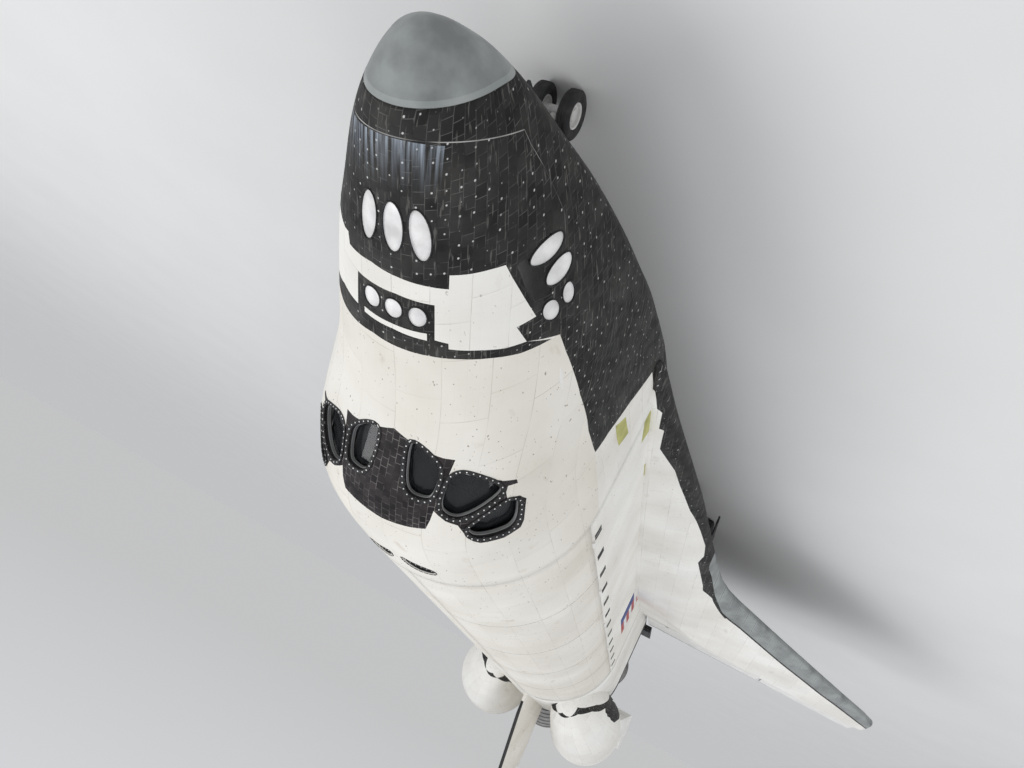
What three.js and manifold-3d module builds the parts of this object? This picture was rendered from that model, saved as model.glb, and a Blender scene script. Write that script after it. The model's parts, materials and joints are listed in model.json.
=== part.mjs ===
// A winged space orbiter, standing on its wheels with the gear down.
// Lengths are in millimetres. Inside the stance group x runs forward from the nose tip, so a piece
// that lies AFT of the tip has a negative x; y runs to port and z up from the flat belly.
import * as THREE from "three";
import { mergeVertices } from "three/addons/utils/BufferGeometryUtils.js";
import Module from "manifold-3d";

const wasm = await Module();
wasm.setup();

// Fits between pieces
const SEAT = 0.3; // pieces that rest on each other
const CLEAR = 8; // pieces that pass each other

// Landing gear, which sets how the orbiter stands
const PITCH = THREE.MathUtils.degToRad(3.5); // nose down when parked
const NOSE_AXLE_AFT = 3560;
const NOSE_TYRE = { radius: 406, width: 223, spread: 270, rim: 215 };
const MAIN_AXLE_AFT = 23800;
const MAIN_AXLE_Z = -2050;
const MAIN_LEG_Y = 3454;
const MAIN_TYRE = { radius: 565, width: 400, spread: 440, rim: 300 };
const WHEEL_BASE = MAIN_AXLE_AFT - NOSE_AXLE_AFT;
const NOSE_AXLE_Z =
  MAIN_AXLE_Z +
  (NOSE_TYRE.radius - MAIN_TYRE.radius + WHEEL_BASE * Math.sin(PITCH)) / Math.cos(PITCH);

// Main places along the body, aft of the nose tip
const MODULE_END = 3580;
const CABIN_END = 8660;
const BAY_END = 27230;
const BODY_END = 32150;
const DECK_SPLIT = 3302; // height where the forward fuselage's two shells meet
const SILL_Z = 3640;
const BAY_RADIUS = 2330;
const SKIN = 160; // forward fuselage wall
const DOOR_SKIN = 200;

// Fuselage sections: aft, bottom, top, half width, side's upper end, side's lower end,
// half width of the flat belly, crown power (2 is an ellipse)
const FUSELAGE = [
  [0, 1610, 1701, 50, 1651, 1645, 10, 2],
  [40, 1480, 1865, 205, 1651, 1640, 20, 2],
  [130, 1360, 2045, 366, 1651, 1600, 30, 2],
  [300, 1220, 2273, 555, 1651, 1560, 60, 2],
  [620, 1025, 2616, 800, 1651, 1460, 110, 2],
  [1140, 880, 2883, 1105, 1640, 1330, 220, 2],
  [1820, 740, 3188, 1397, 1640, 1220, 380, 2],
  [2600, 590, 3543, 1715, 1640, 1090, 680, 2],
  [3260, 480, 3835, 1910, 1650, 980, 950, 2],
  [4200, 350, 4230, 2146, 1700, 840, 1300, 2],
  [4880, 265, 4615, 2270, 1780, 730, 1572, 2.05],
  [5150, 228, 4850, 2325, 1830, 687, 1680, 2.1],
  [5600, 180, 5275, 2400, 1950, 620, 1850, 2.25],
  [5950, 150, 5520, 2440, 2110, 573, 1955, 2.4],
  [6400, 115, 5725, 2490, 2380, 517, 2087, 2.4],
  [7000, 75, 5845, 2550, 2740, 443, 2250, 2.25],
  [7600, 35, 5895, 2590, 3000, 360, 2400, 2.1],
  [8660, 0, 5918, 2640, 3302, 260, 2480, 2],
  [13000, 0, 5918, 2640, 3302, 90, 2580, 2],
  [27230, 0, 5918, 2640, 3302, 90, 2580, 2],
  [30200, 120, 5910, 2700, 3302, 210, 2600, 2.1],
  [32150, 290, 5890, 2750, 3302, 380, 2600, 2.2],
];

const ACROSS = new THREE.Vector3(0, 1, 0);
const UP = new THREE.Vector3(0, 0, 1);
const FORWARD = new THREE.Vector3(1, 0, 0);
const at = (aft, y, z) => new THREE.Vector3(-aft, y, z);

// Linear interpolation of every column of a table whose first column rises
function row(table, key) {
  const last = table.length - 1;
  let i = table.findIndex((r) => r[0] >= key);
  if (i < 0) i = last;
  if (i === 0) i = 1;
  const [a, b] = [table[i - 1], table[i]];
  const t = THREE.MathUtils.clamp((key - a[0]) / (b[0] - a[0]), 0, 1);
  return a.map((value, k) => value + (b[k] - value) * t);
}

// A closed mesh given as points and triangles, turned the right way out
function solid(points, triangles) {
  const vertProperties = new Float32Array(points.flatMap((p) => [p.x, p.y, p.z]));
  const make = (faces) => {
    const triVerts = new Uint32Array(faces.flat());
    return new wasm.Manifold(new wasm.Mesh({ numProp: 3, vertProperties, triVerts }));
  };
  const made = make(triangles);
  return made.volume() > 0 ? made : make(triangles.map(([a, b, c]) => [a, c, b]));
}

// A three.js geometry as a solid
function solidOf(geometry) {
  const flat = geometry.index ? geometry.toNonIndexed() : geometry;
  const bare = new THREE.BufferGeometry().setAttribute("position", flat.getAttribute("position"));
  const merged = mergeVertices(bare, 1e-3);
  const points = [];
  for (let i = 0; i < merged.attributes.position.count; i++)
    points.push(new THREE.Vector3().fromBufferAttribute(merged.attributes.position, i));
  const index = merged.index.array;
  const triangles = [];
  for (let i = 0; i < index.length; i += 3) {
    const t = [index[i], index[i + 1], index[i + 2]];
    if (t[0] !== t[1] && t[1] !== t[2] && t[0] !== t[2]) triangles.push(t);
  }
  return solid(points, triangles);
}

// Triangles over a flat outline of points in space
function cap(ring) {
  const normal = new THREE.Vector3();
  ring.forEach((p, i) => normal.add(new THREE.Vector3().crossVectors(p, ring[(i + 1) % ring.length])));
  const aside = Math.abs(normal.z) > 0.9 * normal.length() ? FORWARD : UP;
  const u = new THREE.Vector3().crossVectors(normal, aside).normalize();
  const v = new THREE.Vector3().crossVectors(normal.normalize(), u);
  const outline = ring.map((p) => new THREE.Vector2(p.dot(u), p.dot(v)));
  return THREE.ShapeUtils.triangulateShape(outline, []);
}

// A solid through rings of equal point counts, with flat ends
function loft(rings) {
  const n = rings[0].length;
  const triangles = [];
  for (let r = 0; r + 1 < rings.length; r++)
    for (let i = 0; i < n; i++) {
      const [a, b] = [r * n + i, r * n + ((i + 1) % n)];
      // the diagonals of the two sides mirror each other
      const port = rings[r][i].y + rings[r][(i + 1) % n].y >= 0;
      if (port) triangles.push([a, b, b + n], [a, b + n, a + n]);
      else triangles.push([a, b, a + n], [b, b + n, a + n]);
    }
  const last = (rings.length - 1) * n;
  [rings[0], rings[rings.length - 1]].forEach((end, which) => {
    const faces = cap(end);
    // the walls run along the first ring forwards and along the last ring backwards
    const forwards = faces.some((t) => t.some((k, j) => t[(j + 1) % 3] === (k + 1) % n));
    const flip = forwards === (which === 0);
    for (const [a, b, c] of faces) {
      const face = flip ? [a, c, b] : [a, b, c];
      triangles.push(face.map((k) => k + which * last));
    }
  });
  return solid(rings.flat(), triangles);
}

// A prism from a flat outline, pushed both ways along a direction
const prism = (points, along, ahead, behind) =>
  loft([
    points.map((p) => p.clone().addScaledVector(along, ahead)),
    points.map((p) => p.clone().addScaledVector(along, -behind)),
  ]);

// An upright box between limits given aft, to port and up
function block([aft0, aft1], [y0, y1], [z0, z1]) {
  const box = new THREE.BoxGeometry(aft1 - aft0, y1 - y0, z1 - z0);
  return solidOf(box.translate(-(aft0 + aft1) / 2, (y0 + y1) / 2, (z0 + z1) / 2));
}

// A turned solid: profile pairs are [distance along the axis, radius], from a point along a direction
function turned(profile, from, direction, segments = 16, firstAngle = 0) {
  const lathe = new THREE.LatheGeometry(
    [...profile, profile[0]].map(([along, radius]) => new THREE.Vector2(radius, along)),
    segments,
    firstAngle,
  );
  const turn = new THREE.Quaternion().setFromUnitVectors(ACROSS, direction.clone().normalize());
  return solidOf(lathe.applyQuaternion(turn).translate(from.x, from.y, from.z));
}

// A plain round bar between two points
function bar(from, to, radius, segments = 10, endRadius = radius) {
  const direction = to.clone().sub(from);
  const profile = [
    [0, 0],
    [0, radius],
    [direction.length(), endRadius],
    [direction.length(), 0],
  ];
  return turned(profile.slice().reverse(), from, direction, segments);
}

const join = (parts) => parts.reduce((a, b) => a.add(b));

// Everything aft of, or ahead of, a plane through a point on the centreline, leaned by an angle
function beyondPlane(aft, z, lean, ahead = false) {
  const size = 90000;
  const box = new THREE.BoxGeometry(size, size, size).translate(ahead ? size / 2 : -size / 2, 0, 0);
  return solidOf(box.applyMatrix4(new THREE.Matrix4().makeRotationY(lean)).translate(-aft, 0, z));
}

// One fuselage ring, drawn in by an inset
function ring(aft, inset = 0) {
  const [, bottom, top, half, sideTop, sideBottom, flat, power] = row(FUSELAGE, aft);
  const w = half - inset;
  const low = bottom + inset;
  const high = top - inset;
  const corner = Math.max(sideBottom, low + 5);
  const flatHalf = Math.min(flat, w - 5);
  const port = [[flatHalf, low]];
  const CORNER_STEPS = 3;
  for (let i = 1; i <= CORNER_STEPS; i++) {
    const t = (i / CORNER_STEPS) * (Math.PI / 2);
    port.push([flatHalf + (w - flatHalf) * Math.sin(t), corner - (corner - low) * Math.cos(t)]);
  }
  const CROWN_STEPS = 7;
  for (let i = 0; i < CROWN_STEPS; i++) {
    const t = (i / CROWN_STEPS) * (Math.PI / 2);
    port.push([w * Math.cos(t) ** (2 / power), sideTop + (high - sideTop) * Math.sin(t) ** (2 / power)]);
  }
  const starboard = port.map(([y, z]) => [-y, z]).reverse();
  return [[0, low], ...port, [0, high], ...starboard].map(([y, z]) => at(aft, y, z));
}

// The fuselage between two stations
function body(aft0, aft1, inset = 0) {
  const stations = FUSELAGE.map((r) => r[0]).filter((a) => a > aft0 + 1 && a < aft1 - 1);
  return loft([aft0, ...stations, aft1].map((a) => ring(a, inset)));
}

// A hinge whose knuckles sit on one axis, end to end: the carrier's first, then the panel's
function knuckleHinge(carrier, panel, start, direction, places, radius = 45, length = 160) {
  let [fixed, moving] = [carrier, panel];
  const way = direction.clone().normalize();
  const point = (t) => start.clone().addScaledVector(way, t);
  for (const place of places) {
    const fixedSpan = [place - length, place];
    const movingSpan = [place + SEAT, place + SEAT + length];
    fixed = fixed.subtract(bar(point(movingSpan[0] - SEAT), point(movingSpan[1] + CLEAR), radius + CLEAR));
    moving = moving.subtract(bar(point(fixedSpan[0] - CLEAR), point(fixedSpan[1] + SEAT), radius + CLEAR));
    fixed = fixed.add(bar(point(fixedSpan[0]), point(fixedSpan[1]), radius));
    moving = moving.add(bar(point(movingSpan[0]), point(movingSpan[1]), radius));
  }
  return [fixed, moving];
}

const material = (color, roughness, metalness = 0) =>
  new THREE.MeshStandardMaterial({ color, roughness, metalness });
const WHITE_TILE = material(0xe4e0d8, 0.75);
const BLANKET = material(0xece8df, 0.9);
const BLACK_TILE = material(0x26262a, 0.6);
const CARBON = material(0x6f7476, 0.55);
const METAL = material(0x9a9da0, 0.35, 0.9);
const DARK_METAL = material(0x5a5b60, 0.4, 0.8);
const RUBBER = material(0x1b1b1d, 0.85);
const GLASS = material(0x20262c, 0.1);
const CABIN_GREY = material(0x8f959a, 0.7);
const SEAT_CLOTH = material(0x4a5560, 0.9);

const stance = new THREE.Group();

function geometryOf(shape) {
  const mesh = shape.getMesh();
  const geometry = new THREE.BufferGeometry();
  const points = new Float32Array(mesh.numVert * 3);
  for (let i = 0; i < mesh.numVert; i++)
    points.set(mesh.vertProperties.subarray(i * mesh.numProp, i * mesh.numProp + 3), i * 3);
  geometry.setAttribute("position", new THREE.BufferAttribute(points, 3));
  geometry.setIndex(new THREE.BufferAttribute(mesh.triVerts, 1));
  geometry.computeVertexNormals();
  return geometry;
}

function place(name, shape, finish) {
  const mesh = new THREE.Mesh(geometryOf(shape), finish);
  mesh.name = name;
  stance.add(mesh);
  return mesh;
}

// The same piece on both sides; the given shape is the port one
function placePair(name, shape, finish) {
  place(`${name}_port`, shape, finish);
  place(`${name}_starboard`, shape, finish).scale.y = -1;
}

// Nose: the carbon cap's edge and the thruster module's front edge lean the same way
const CAP_EDGE = { aft: 480, z: 2360, lean: THREE.MathUtils.degToRad(22) };
const MODULE_FRONT = CAP_EDGE.aft + 470;
const MODULE_FLOOR = 1660;

function nose() {
  const front = body(0, 1400);
  place("nose_cap", front.subtract(beyondPlane(CAP_EDGE.aft, CAP_EDGE.z, CAP_EDGE.lean)), CARBON);
  const module = body(500, MODULE_END)
    .subtract(beyondPlane(MODULE_FRONT, CAP_EDGE.z, CAP_EDGE.lean, true))
    .subtract(block([0, 4000], [-3000, 3000], [-3000, MODULE_FLOOR]));
  place("thruster_module", module, BLACK_TILE);
}

// Cockpit windows on the port side: corners aft and y, from the inner front corner round
const WINDOWS = {
  front: [[4970, 262], [4965, 425], [5185, 795], [5340, 850], [5600, 800], [5640, 700], [5600, 420],
    [5400, 310]],
  middle: [[5305, 1060], [5315, 1230], [5500, 1575], [5640, 1700], [5730, 1700], [5905, 1310], [5870, 1110],
    [5730, 950], [5400, 985]],
  side: [[5840, 1790], [5900, 1910], [6010, 1955], [6310, 1975], [6425, 1930], [6440, 1850], [6370, 1530],
    [6200, 1395], [6070, 1415]],
  overhead: [[7500, 110], [7650, 340], [7780, 670], [8000, 680], [8070, 560], [8070, 320], [7840, 150]],
};
const HATCH = { aft: 6900, z: 2350, radius: 508, taper: 60 };
const HATCH_HINGE = at(HATCH.aft, 2548, HATCH.z - HATCH.radius - 30);

// Height of the crown's skin over a place
function crownZ(aft, y) {
  const [, , top, half, sideTop, , , power] = row(FUSELAGE, aft);
  return sideTop + (top - sideTop) * (1 - (Math.abs(y) / half) ** power) ** (1 / power);
}

// A window's hole: its corners pushed through the skin along their mean normal
function windowCutter(corners, side) {
  const outline = corners.map(([aft, y]) => at(aft, y * side, crownZ(aft, y)));
  const centre = outline.reduce((a, p) => a.add(p), new THREE.Vector3()).divideScalar(outline.length);
  const normal = new THREE.Vector3();
  outline.forEach((p, i) => {
    const next = outline[(i + 1) % outline.length];
    normal.add(new THREE.Vector3().crossVectors(p.clone().sub(centre), next.clone().sub(centre)));
  });
  normal.normalize();
  if (normal.z < 0) normal.negate();
  const flat = outline.map((p) => p.clone().addScaledVector(normal, centre.clone().sub(p).dot(normal)));
  return prism(flat, normal, 400, 400);
}

const CABIN = { front: 4850, back: CABIN_END - SKIN, floor: 1400, deck: DECK_SPLIT - 30, deckThick: 90 };

function cabinSpace(inset) {
  const stations = body(CABIN.front, CABIN.back, inset);
  return stations.subtract(block([0, 9000], [-3000, 3000], [-3000, CABIN.floor]));
}

const NOSE_WELL = { front: 1700, back: 3860, half: 430, roof: 1250 };

function forwardFuselage() {
  const shell = body(40, CABIN_END - SEAT)
    .subtract(cabinSpace(SKIN))
    .subtract(beyondPlane(CAP_EDGE.aft + SEAT, CAP_EDGE.z, CAP_EDGE.lean, true))
    .subtract(
      block([0, MODULE_END + SEAT], [-3000, 3000], [MODULE_FLOOR - SEAT, 6000])
        .subtract(beyondPlane(MODULE_FRONT - SEAT, CAP_EDGE.z, CAP_EDGE.lean, true)),
    );
  const above = block([MODULE_END, 9000], [-3000, 3000], [DECK_SPLIT, 7000]);
  const cutters = ["front", "middle", "side", "overhead"].flatMap((w) =>
    [1, -1].map((side) => windowCutter(WINDOWS[w], side)),
  );
  const upper = cutters.reduce((a, c) => a.subtract(c), shell.intersect(above));
  place("forward_fuselage_upper", upper, BLANKET);

  const wellWidth = [-NOSE_WELL.half, NOSE_WELL.half];
  const well = block([NOSE_WELL.front, NOSE_WELL.back], wellWidth, [-500, NOSE_WELL.roof]);
  let lower = shell
    .subtract(block([MODULE_END - SEAT, 9000], [-3000, 3000], [DECK_SPLIT - SEAT, 7000]))
    .subtract(well);
  const skinY = 2700;
  const throughSkin = (radius) => {
    const from = at(HATCH.aft, skinY, HATCH.z);
    const depth = 420;
    const profile = [[0, 0], [0, radius], [depth, radius - HATCH.taper], [depth, 0]];
    return turned(profile.reverse(), from, new THREE.Vector3(0, -1, 0), 20);
  };
  let hatch = lower.intersect(throughSkin(HATCH.radius - 15));
  lower = lower.subtract(throughSkin(HATCH.radius));
  const foot = HATCH.z - HATCH.radius;
  for (const aft of [HATCH.aft - 150, HATCH.aft + 150]) {
    const lug = block([aft - 45, aft + 45], [2490, 2570], [foot - 30, foot + 110]);
    const span = [aft - 45 - CLEAR, aft + 45 + CLEAR];
    const passage = block(span, [2490 - CLEAR, 2730], [foot - 70, foot + 110]);
    hatch = hatch.add(lug);
    lower = lower.subtract(passage);
  }
  const knuckles = [-195 - SEAT, 105 - SEAT];
  [lower, hatch] = knuckleHinge(lower, hatch, HATCH_HINGE, FORWARD, knuckles, 32, 90);
  place("crew_hatch", hatch, WHITE_TILE);
  return lower;
}

const SEATS = { aft: 6170, y: 620 };

// Glass behind the window openings, and what shows through it
function cabinFittings() {
  const glassDepth = SKIN + SEAT;
  const sheet = cabinSpace(glassDepth).subtract(cabinSpace(glassDepth + 40));
  const belt = block([4900, 6660], [-2300, 2300], [4250, 5420]);
  place("windscreen", sheet.intersect(belt), GLASS);
  const roof = block([7400, 8170], [-760, 760], [5400, 6000]);
  place("overhead_windows", sheet.intersect(roof), GLASS);

  const room = cabinSpace(glassDepth + 45);
  const floorRoom = cabinSpace(SKIN + SEAT);
  const floor = floorRoom
    .intersect(block([CABIN.front, 8480], [-3000, 3000], [CABIN.deck - CABIN.deckThick, CABIN.deck]))
    .subtract(block([7500, 8200], [900, 1600], [3000, 3400]));
  const foot = CABIN.deck - 5;
  const panelSide = [[5140, foot], [5140, 4060], [5420, 4170], [5680, 4010], [5620, foot]];
  const panel = prism(panelSide.map(([aft, z]) => at(aft, 0, z)), ACROSS, 1700, 1700);
  const console = block([5570, 6500], [-210, 210], [foot, 3750]);
  place("flight_deck", join([floor, panel.intersect(room), console]), CABIN_GREY);

  const seat = (y) =>
    join([
      block([SEATS.aft, SEATS.aft + 530], [y - 240, y + 240], [3640, 3760]),
      prism(
        [[510, 3640], [670, 4520], [550, 4520], [400, 3640]].map(([back, z]) => at(SEATS.aft + back, 0, z)),
        ACROSS, y + 230, 230 - y,
      ),
      block([SEATS.aft + 100, SEATS.aft + 450], [y - 190, y + 190], [CABIN.deck + SEAT, 3660]),
    ]);
  const railSpan = [-SEATS.y - 190, SEATS.y + 190];
  const rail = block([SEATS.aft + 350, SEATS.aft + 610], railSpan, [CABIN.deck + SEAT, CABIN.deck + 120]);
  place("crew_seats", join([seat(SEATS.y), seat(-SEATS.y), rail]), SEAT_CLOTH);
}

// Bay door hinge line, and the mid fuselage trough with its two doors
const DOOR_HINGE = { y: 2625, z: SILL_Z };
const DOOR_HINGE_PLACES = [1200, 5200, 9200, 13200, 17200];

function midFuselage() {
  const hull = body(CABIN_END, BAY_END - SEAT);
  const bay = turned([[0, 0], [0, BAY_RADIUS], [19000, BAY_RADIUS], [19000, 0]].reverse(),
    at(8600, 0, 3302), new THREE.Vector3(-1, 0, 0), 28);
  const throat = block([8600, 27600], [-BAY_RADIUS + 4, BAY_RADIUS - 4], [3302, 6000]);
  const above = block([8600, 27600], [-3000, 3000], [SILL_Z, 6000]);
  let trough = hull.subtract(bay).subtract(throat).subtract(above);
  const inside = body(CABIN_END - 10, BAY_END + 10, DOOR_SKIN);
  const doorHull = body(CABIN_END + CLEAR, BAY_END - CLEAR).subtract(inside);
  let door = doorHull.intersect(block([8600, 27600], [3, 3000], [SILL_Z + CLEAR, 6000]));
  const axis = new THREE.Vector3(-1, 0, 0);
  const start = at(CABIN_END, DOOR_HINGE.y, DOOR_HINGE.z);
  [trough, door] = knuckleHinge(trough, door, start, axis, DOOR_HINGE_PLACES);
  const mirrored = start.clone().setY(-start.y);
  // the starboard sill takes the same knuckles
  for (const t of DOOR_HINGE_PLACES) {
    const point = (d) => mirrored.clone().addScaledVector(axis, t + d);
    trough = trough.subtract(bar(point(0), point(SEAT + 160 + CLEAR), 45 + CLEAR));
    trough = trough.add(bar(point(-160), point(0), 45));
  }
  placePair("bay_door", door, BLANKET);
  return trough;
}

// Engines that swing on a cross block: gimbal point, lean of the axis upwards and outboard in degrees,
// and the size of the block's arms
const ENGINES = {
  upper: { aft: 30735, y: 0, z: 4394, up: 16, out: 0, arm: 110 },
  lower: { aft: 31320, y: 1346, z: 1845, up: 10, out: 3.5, arm: 110 },
  pod: { aft: 32588, y: 2235, z: 5639, up: 15.8, out: 6.5, arm: 44 },
};
const DOME = { outer: 1330, inner: 1200, mouth: 620 };
const POCKET_RADIUS = 1060; // the upper dome sits in a round pocket in the base

// Bell outlines: distance from the gimbal and radius, outside first and back down the inside
const MAIN_BELL = [
  [165, 0], [165, 230], [650, 290], [1345, 290], [1345, 700], [1420, 700], [1450, 310], [1750, 360],
  [2100, 500], [2600, 700], [3200, 930], [3940, 1152], [3940, 1112], [3200, 885], [2600, 650],
  [2100, 445], [1750, 0],
];
const POD_BELL = [
  [66, 0], [66, 92], [150, 110], [250, 180], [600, 380], [1000, 490], [1400, 545],
  [1400, 523], [1000, 466], [600, 352], [320, 160], [280, 0],
];

// The directions of an engine: along the bell, across the ship, and square to both
function engineAxes({ up, out }, side = 1) {
  const [u, o] = [THREE.MathUtils.degToRad(up), THREE.MathUtils.degToRad(out)];
  const level = new THREE.Vector3(-Math.cos(o), side * Math.sin(o), 0);
  const way = level.multiplyScalar(Math.cos(u)).setZ(Math.sin(u));
  const across = ACROSS.clone().addScaledVector(way, -way.y).normalize();
  return [way.normalize(), across, new THREE.Vector3().crossVectors(across, way)];
}

// A box with spans along three square directions from a point
function slab(origin, directions, spans) {
  const size = spans.map(([a, b]) => b - a);
  const middle = spans.map(([a, b]) => (a + b) / 2);
  const [way, across, square] = directions;
  const right = new THREE.Vector3().crossVectors(way, across);
  const flip = right.dot(square) < 0 ? -1 : 1;
  const box = new THREE.BoxGeometry(...size).translate(middle[0], middle[1], middle[2] * flip);
  const turn = new THREE.Matrix4().makeBasis(way, across, right);
  return solidOf(box.applyMatrix4(turn).translate(...origin.toArray()));
}

// The bell with its two cheeks, and the cross block between them and the hull's cheeks
function engineParts(spec, bell) {
  const gimbal = at(spec.aft, spec.y, spec.z);
  const axes = engineAxes(spec);
  const a = spec.arm;
  const half = [-0.55 * a, 0.55 * a];
  const cheek = (ends) => slab(gimbal, axes, [[-0.65 * a, 1.8 * a], half, ends]);
  const engine = join([
    turned(bell, gimbal, axes[0], 16),
    cheek([a + SEAT, 1.6 * a]),
    cheek([-1.6 * a, -a - SEAT]),
  ]);
  const arm = [-a, a];
  const blockArms = join([slab(gimbal, axes, [half, arm, half]), slab(gimbal, axes, [half, half, arm])]);
  return [engine, blockArms];
}

// The mount that holds a cross block from in front, for the hull or a pod to be joined with
function engineMount(spec, side, reach, radius) {
  const gimbal = at(spec.aft, spec.y * side, spec.z);
  const axes = engineAxes(spec, side);
  const a = spec.arm;
  const half = [-0.55 * a, 0.55 * a];
  const point = (t) => gimbal.clone().addScaledVector(axes[0], t);
  return join([
    bar(point(-reach), point(-1.8 * a), radius * 1.6, 12, radius),
    slab(gimbal, axes, [[-2.4 * a, 0.45 * a], [a + SEAT, 1.65 * a], half]),
    slab(gimbal, axes, [[-2.4 * a, 0.45 * a], [-1.65 * a, -a - SEAT], half]),
  ]);
}

function engines() {
  const [upper, upperBlock] = engineParts(ENGINES.upper, MAIN_BELL);
  place("engine_upper", upper, METAL);
  place("gimbal_upper", upperBlock, DARK_METAL);
  const [lower, lowerBlock] = engineParts(ENGINES.lower, MAIN_BELL);
  placePair("engine_lower", lower, METAL);
  placePair("gimbal_lower", lowerBlock, DARK_METAL);
  const [pod, podBlock] = engineParts(ENGINES.pod, POD_BELL);
  placePair("pod_engine", pod, METAL);
  placePair("pod_gimbal", podBlock, DARK_METAL);
}

const FLAP = {
  aft: 32944, z: 445, half: 3050, chord: 2150, radius: 150,
  lugs: [-2000, 0, 2000], lugHalf: 120,
};
const UMBILICAL = { aft: [27650, 28900], y: [1180, 2430], ledge: 110, depth: 420, rim: 70 };

function aftFuselage() {
  let hull = body(BAY_END, BODY_END);
  const shelf = [[31900, 320], [32760, 330], [32760, 560], [31900, 700]].map(([aft, z]) => at(aft, 0, z));
  hull = hull.add(prism(shelf, ACROSS, FLAP.half - 300, FLAP.half - 300));
  const domes = [[ENGINES.upper, 1], [ENGINES.lower, 1], [ENGINES.lower, -1]];
  const centre = ([spec, side]) => at(spec.aft, spec.y * side, spec.z);
  const ball = (dome, radius, w, h) => {
    const c = centre(dome);
    return solidOf(new THREE.SphereGeometry(radius, w, h).rotateZ(Math.PI / 2).translate(c.x, c.y, c.z));
  };
  const upperWay = engineAxes(ENGINES.upper)[0];
  const pocket = (t) => centre(domes[0]).addScaledVector(upperWay, t);
  hull = hull.subtract(bar(pocket(900), pocket(3000), POCKET_RADIUS, 16));
  for (const dome of domes) hull = hull.add(ball(dome, DOME.outer, 16, 10));
  for (const dome of domes) {
    const way = engineAxes(dome[0], dome[1])[0];
    hull = hull.subtract(ball(dome, DOME.inner, 12, 6));
    hull = hull.subtract(bar(centre(dome), centre(dome).addScaledVector(way, 1800), DOME.mouth, 16));
  }
  for (const [spec, side] of domes) hull = hull.add(engineMount(spec, side, 1300, 260));
  const [a0, a1] = UMBILICAL.aft;
  const r = UMBILICAL.rim;
  for (const side of [1, -1]) {
    const between = (inset) => {
      const [inner, outer] = UMBILICAL.y;
      return [(inner + inset) * side, (outer - inset) * side].sort((a, b) => a - b);
    };
    hull = hull.subtract(block([a0, a1], between(0), [-400, UMBILICAL.ledge + SEAT]));
    hull = hull.subtract(block([a0 + r, a1 - r], between(r), [0, UMBILICAL.depth]));
  }
  const flapAxis = at(FLAP.aft, 0, FLAP.z);
  for (const y of FLAP.lugs) {
    const span = [y - FLAP.lugHalf, y + FLAP.lugHalf];
    const end = (v) => flapAxis.clone().setY(v);
    hull = hull.add(bar(end(span[0]), end(span[1]), FLAP.radius - 20, 14));
    hull = hull.add(block([32600, FLAP.aft], span, [FLAP.z - 90, FLAP.z + 90]));
  }
  return hull;
}

function bellyDoors() {
  const [a0, a1] = UMBILICAL.aft;
  const [y0, y1] = UMBILICAL.y;
  const skin = body(BAY_END, BODY_END);
  const panel = block([a0 + 10, a1 - 10], [y0 + 10, y1 - 10], [-400, UMBILICAL.ledge]);
  placePair("umbilical_door", skin.intersect(panel), BLACK_TILE);
}

// A control surface section round its hinge: a round nose and a straight wedge back to the trailing edge
function surfaceRing(axisPoint, radius, chord, edge, drop = 0) {
  const nose = [90, 126, 162, 198, 234, 270].map((degrees) => {
    const t = THREE.MathUtils.degToRad(degrees);
    return [-radius * Math.cos(t), radius * Math.sin(t)];
  });
  const outline = [...nose, [-chord, drop - edge], [-chord, drop + edge]];
  return outline.map(([x, z]) => axisPoint.clone().add(new THREE.Vector3(x, 0, z)));
}

// Cuts a hinge lug's slot out of a surface; the lug itself is returned with it
function hingeLug(surface, axis, place, half, radius, armLength) {
  const [from, way] = axis;
  const point = (t) => from.clone().addScaledVector(way, t);
  const slot = bar(point(place - half - SEAT), point(place + half + CLEAR), radius + CLEAR, 16);
  const middle = point(place);
  const lug = join([
    bar(point(place - half), point(place + half), radius * 0.88, 14),
    slab(middle, [FORWARD, way, UP], [[0, armLength], [-half, half], [-radius * 0.5, radius * 0.5]]),
  ]);
  return [surface.subtract(slot), lug];
}

function bodyFlap() {
  const sections = [-FLAP.half, FLAP.half].map((y) =>
    surfaceRing(at(FLAP.aft, y, FLAP.z), FLAP.radius, FLAP.chord, 22, -10),
  );
  let flap = loft(sections);
  const axis = [at(FLAP.aft, 0, FLAP.z), ACROSS];
  for (const y of FLAP.lugs) [flap] = hingeLug(flap, axis, y, FLAP.lugHalf, FLAP.radius + 12, 100);
  place("body_flap", flap, BLACK_TILE);
}

// Wing drawings are in inches: aft station, out from the centreline and up
const inches = { aft: (x) => (x - 235) * 25.4, y: (y) => y * 25.4, z: (z) => (z - 270) * 25.4 };

// Wing stations: out, leading edge aft and height, lower surface height, greatest thickness
const WING = [
  [90, 512, 297, 270.6, 56],
  [105, 527, 297, 270.8, 56],
  [115, 585, 296, 271, 55],
  [125, 632, 295, 271.5, 54],
  [140, 700, 294, 272, 52],
  [155, 768, 293.5, 273, 51],
  [170, 852, 293, 274, 50],
  [185, 936, 292.5, 275, 48],
  [200, 1010, 292, 276, 46],
  [214, 1043, 292, 277.5, 44],
  [230, 1064, 292, 279, 42],
  [300, 1136, 296, 284.5, 34],
  [380, 1216, 300.5, 290, 25],
  [450, 1286, 304.5, 294.5, 16.5],
  [468, 1310, 306, 296, 12],
];
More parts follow.
